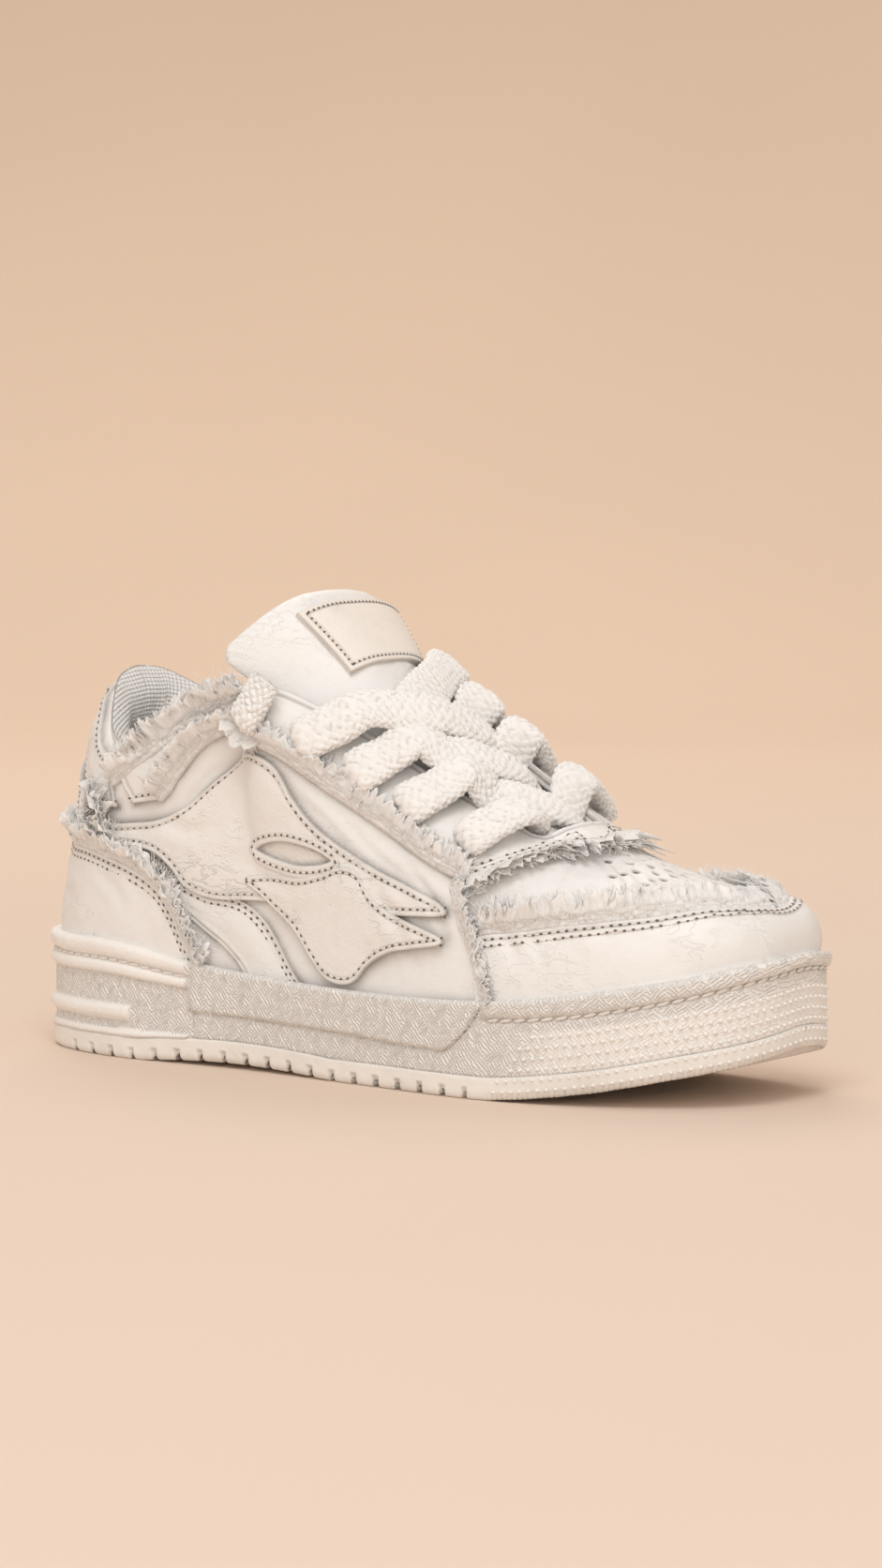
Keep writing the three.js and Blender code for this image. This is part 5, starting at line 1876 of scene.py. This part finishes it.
def ruffle(s, k, seed, lift, fade):
    """Height over the skin: two waves that grow outwards, a curl at the tip, and the root
    tucked under the panel."""
    x = ACROSS
    wave = noise(s[:, None] / 3.6, x * 1.3 + 9 * k, seed + 1)
    wave = wave + 0.4 * noise(s[:, None] / 1.6, x * 2.2 + 9 * k, seed + 2)
    rise = lift * (0.3 + 0.5 * k) + (0.35 + 1.1 * x) * wave * 0.6 * lift
    rise = rise + 1.25 * lift * x**1.6 * (0.55 + 0.5 * k)
    rise = maximum(rise, 0.15 + 0.2 * k) * fade[:, None]
    return rise * smooth(-0.1, 0.2, x) - 0.9 * (1 - smooth(0, 0.16, x))


def ribbon(points, woven, normal):
    """A sheet 0.3 mm thick at its root and thinner at its tip, with a coarser underside."""
    n = unit(np.cross(np.gradient(points, axis=0), np.gradient(points, axis=1)))
    sign = np.sign((n * normal[:, None]).sum())
    thick, few = 0.3 * (1 - 0.8 * ACROSS[..., None]), [0, 3, 7]
    outside, inside = points + n * sign * thick, (points - n * sign * thick)[:, few]
    # Painted shade at the root, where the ribbon tucks under the panel.
    dark = np.broadcast_to(0.15 * (1 - smooth(0.0, 0.25, ACROSS)), woven.shape[:2])
    if sign < 0:
        outside, inside, woven, dark = (data[:, ::-1] for data in (outside, inside, woven, dark))
        few = [0, 4, 7]
    flat = concatenate([woven.reshape(-1, 2), woven[:, few].reshape(-1, 2)])
    RIBBONS.append((*sheet_of(outside, inside, dark, 0.0), flat))


print("a ribbon is", ACROSS.size, "points wide")

# %% Ribbons and hairs along an edge
def fray_edge(u, v, height, wanted, reach, seed, lift=0.8, layers=4, hairs=6.0):
    """A torn edge on the skin: from the seam outwards by a length that swells and pinches in
    uneven tufts, lifted in waves. The ribbon follows the skin, because each distance is turned
    into steps of u and v by the slope of the skin."""
    line, normal = over(u, v, height), skin_normal(u, v)
    away = beside(line, normal, wanted)
    line, normal, away, uv = resample(line, ALONG, normal, away, np.stack([u, v], -1))
    normal, away = unit(normal), unit(away)
    s, along = lengths(line), unit(np.gradient(line, axis=0))
    u, v = uv[:, :1], uv[:, 1:]
    step_u, step_v = skin_steps(u, v, away)
    fade = sqrt(clip(minimum(s, s[-1] - s) / 3, 0.05, 1))
    fade = np.where(np.abs(u[:, 0] - 0.5) > 0.485, 1, fade)
    for k in range(layers):
        long = (reach * tuft_lengths(s, k, seed) * fade)[:, None]
        rise = ruffle(s, k, seed, lift, fade)
        slide = 0.9 * noise(s[:, None] / 2.0, ACROSS * 2 + 4, seed + 3 + k) * ACROSS
        gone = ACROSS * long - 0.8 + 0.9 * k
        at_u, at_v = clip(u + step_u * gone, 0, TIP_U), v + step_v * gone
        points = over(at_u, at_v, height) + skin_normal(at_u, at_v) * rise[..., None]
        points = points + along[:, None] * slide[..., None]
        woven = stack(np.broadcast_to(s[:, None] + 11 * k, rise.shape), ACROSS * long)
        ribbon(points, woven, normal)
    hair_roots(u, v, (step_u, step_v), (away, along, s), height, reach, seed, lift, hairs)


def hair_roots(u, v, steps, ways, height, reach, seed, lift, hairs):
    """Places, directions and lengths of the loose hairs, `hairs` to the millimetre. All hairs
    within 1.6 mm share the lean of their tuft, and each adds a little of its own."""
    away, along, s = ways
    random = np.random.default_rng(seed)
    count = int(s[-1] * hairs)
    i = random.integers(0, len(s), count)
    leans = np.random.default_rng(seed + 5).normal(0, 1, (int(s[-1] / 1.6) + 2, 3))
    tuft = leans[(s[i] / 1.6).astype(int)]
    gone = (random.uniform(0.15, 0.95, count) * reach * 0.85)[:, None]
    at_u, at_v = clip(u[i] + steps[0][i] * gone, 0, TIP_U), v[i] + steps[1][i] * gone
    out = skin_normal(at_u, at_v)[:, 0]
    high = lift * (0.5 + 1.1 * random.random((count, 1)))
    aside = 0.75 * tuft[:, 1:2] + random.normal(0, 0.35, (count, 1))
    upwards = 0.3 + 0.3 * np.abs(tuft[:, 2:]) + random.normal(0, 0.25, (count, 1))
    lean = unit(away[i] * (0.75 + 0.2 * tuft[:, :1]) + along[i] * aside + out * upwards)
    root = over(at_u, at_v, height)[:, 0] + out * high
    HAIRS.append((root, lean, out, reach * random.uniform(0.18, 0.5, count)))


print("frays: ribbons first, then hairs")

# %% One mesh from many ribbons, and one from many hairs
def joined(parts):
    """Several bodies as one: points, faces sorted by their number of corners, darkness, uv."""
    points, dark, flat = (concatenate([part[k] for part in parts]) for k in (0, 2, 3))
    others, base = {}, 0
    for body, faces, *_ in parts:
        for f in faces:
            others.setdefault(f.shape[1], []).append(f + base)
        base += len(body)
    return points, [concatenate(f) for f in others.values()], dark, flat


def hairs_mesh(name, parts, seed):
    """Each hair: four rings of three points on a bending line, thinner to the tip."""
    root, lean, normal, long = (concatenate([p[k] for p in parts]) for k in range(4))
    random = np.random.default_rng(seed)
    curl = unit(random.normal(0, 1, root.shape)) * 0.8 - normal * 0.25
    f = linspace(0, 1, 4)[None, :, None]
    bend = lean[:, None] * f + curl[:, None] * f**2 * 0.45
    line = root[:, None] + bend * long[:, None, None]
    side = unit(np.cross(lean, normal + 0.01))
    other = np.cross(lean, side)
    a = array([0, 2.094, 4.189])[None, None, :, None]
    thin = 0.2 * (1 - 0.72 * f[..., None]) * random.uniform(0.6, 1.2, (len(root), 1, 1, 1))
    circle = side[:, None, None] * cos(a) + other[:, None, None] * sin(a)
    points = (line[:, :, None] + circle * thin).reshape(-1, 3)
    faces = copies(ring_stack(np.zeros((4, 3, 3)))[1], len(root), 12)
    if np.cross(side[0], other[0]) @ lean[0] < 0:
        faces = flipped(faces)
    piece(name, points, faces, fibre, seam=0.0)


print("a hair has", len(ring_stack(np.zeros((4, 3, 3)))[0]), "points")

# %% [markdown]
# ### Where the shoe is frayed
# Ten edges fray on each side, from the toe guard to the collar. Each row gives the places of
# the edge, its height over the skin, the way the fibres point, how far they reach and how much
# they lift.

# %% The edges, and the frays of both sides
EDGES = [
    ([(0.632, 0.285), (0.66, 0.315), (0.691, 0.343), (0.759, 0.381), (0.851, 0.439),
      (0.93, 0.495), (0.999, 0.525)], 1.0, UP, 10.0, 1.15),
    ([(0.603, 0.50), (0.611, 0.349), (0.624, 0.20), (0.632, 0.089), (0.637, -0.03)],
     0.9, FORE, 6.5, 1.0),
    ([(0.415, 0.80), (0.43, 0.775), (0.474, 0.725), (0.51, 0.69), (0.546, 0.645),
      (0.585, 0.58), (0.617, 0.545)], 1.5, UP, 7.5, 1.1),
    ([(0.617, 0.55), (0.645, 0.70), (0.672, 0.85), (0.71, 1.0), (0.735, 1.15), (0.757, 1.5)],
     1.3, FORE, 8.0, 1.1),
    ([(0.29, 0.672), (0.305, 0.70), (0.321, 0.755), (0.346, 0.82), (0.369, 0.845),
      (0.392, 0.855), (0.415, 0.82), (0.43, 0.78)], 1.2, UP, 8.0, 1.25),
    ([(0.20, 0.83), (0.225, 0.885), (0.25, 0.915), (0.28, 0.93), (0.31, 0.945), (0.34, 0.955),
      (0.37, 0.965), (0.405, 0.97)], 1.4, UP, 10.0, 1.3),
    ([(0.0, 0.345), (0.04, 0.355), (0.076, 0.372), (0.12, 0.415), (0.173, 0.45),
      (0.215, 0.425), (0.254, 0.37), (0.28, 0.31), (0.302, 0.245), (0.318, 0.165),
      (0.33, 0.085), (0.348, -0.02)], 1.0, UP + FORE, 8.0, 1.15),
    ([(0.135, 0.76), (0.15, 0.70), (0.155, 0.60), (0.175, 0.52), (0.20, 0.47)],
     1.2, FORE, 8.5, 1.5),
    ([(0.16, 0.74), (0.18, 0.66), (0.19, 0.57), (0.22, 0.50)], 1.2, FORE + UP * 0.6, 8.0, 1.5),
    ([(0.385, 0.955), (0.395, 0.90), (0.41, 0.86), (0.425, 0.82)], 1.6, -FORE, 7.0, 1.4)]

for side, label, seed, layers, hairs in ((1, "outer", 500, 4, 6.5), (-1, "inner", 560, 3, 5.0)):
    RIBBONS.clear()
    HAIRS.clear()
    for i, (places, height, wanted, reach, lift) in enumerate(EDGES):
        fray_edge(*on_skin(places, side), height, wanted, reach, seed + 5 * i, lift, layers, hairs)
    points, faces, dark, woven = joined(RIBBONS)
    piece("fray_" + label, points, faces, fray, uv=woven, seam=dark)
    hairs_mesh("fibres_" + label, HAIRS, seed + 3)
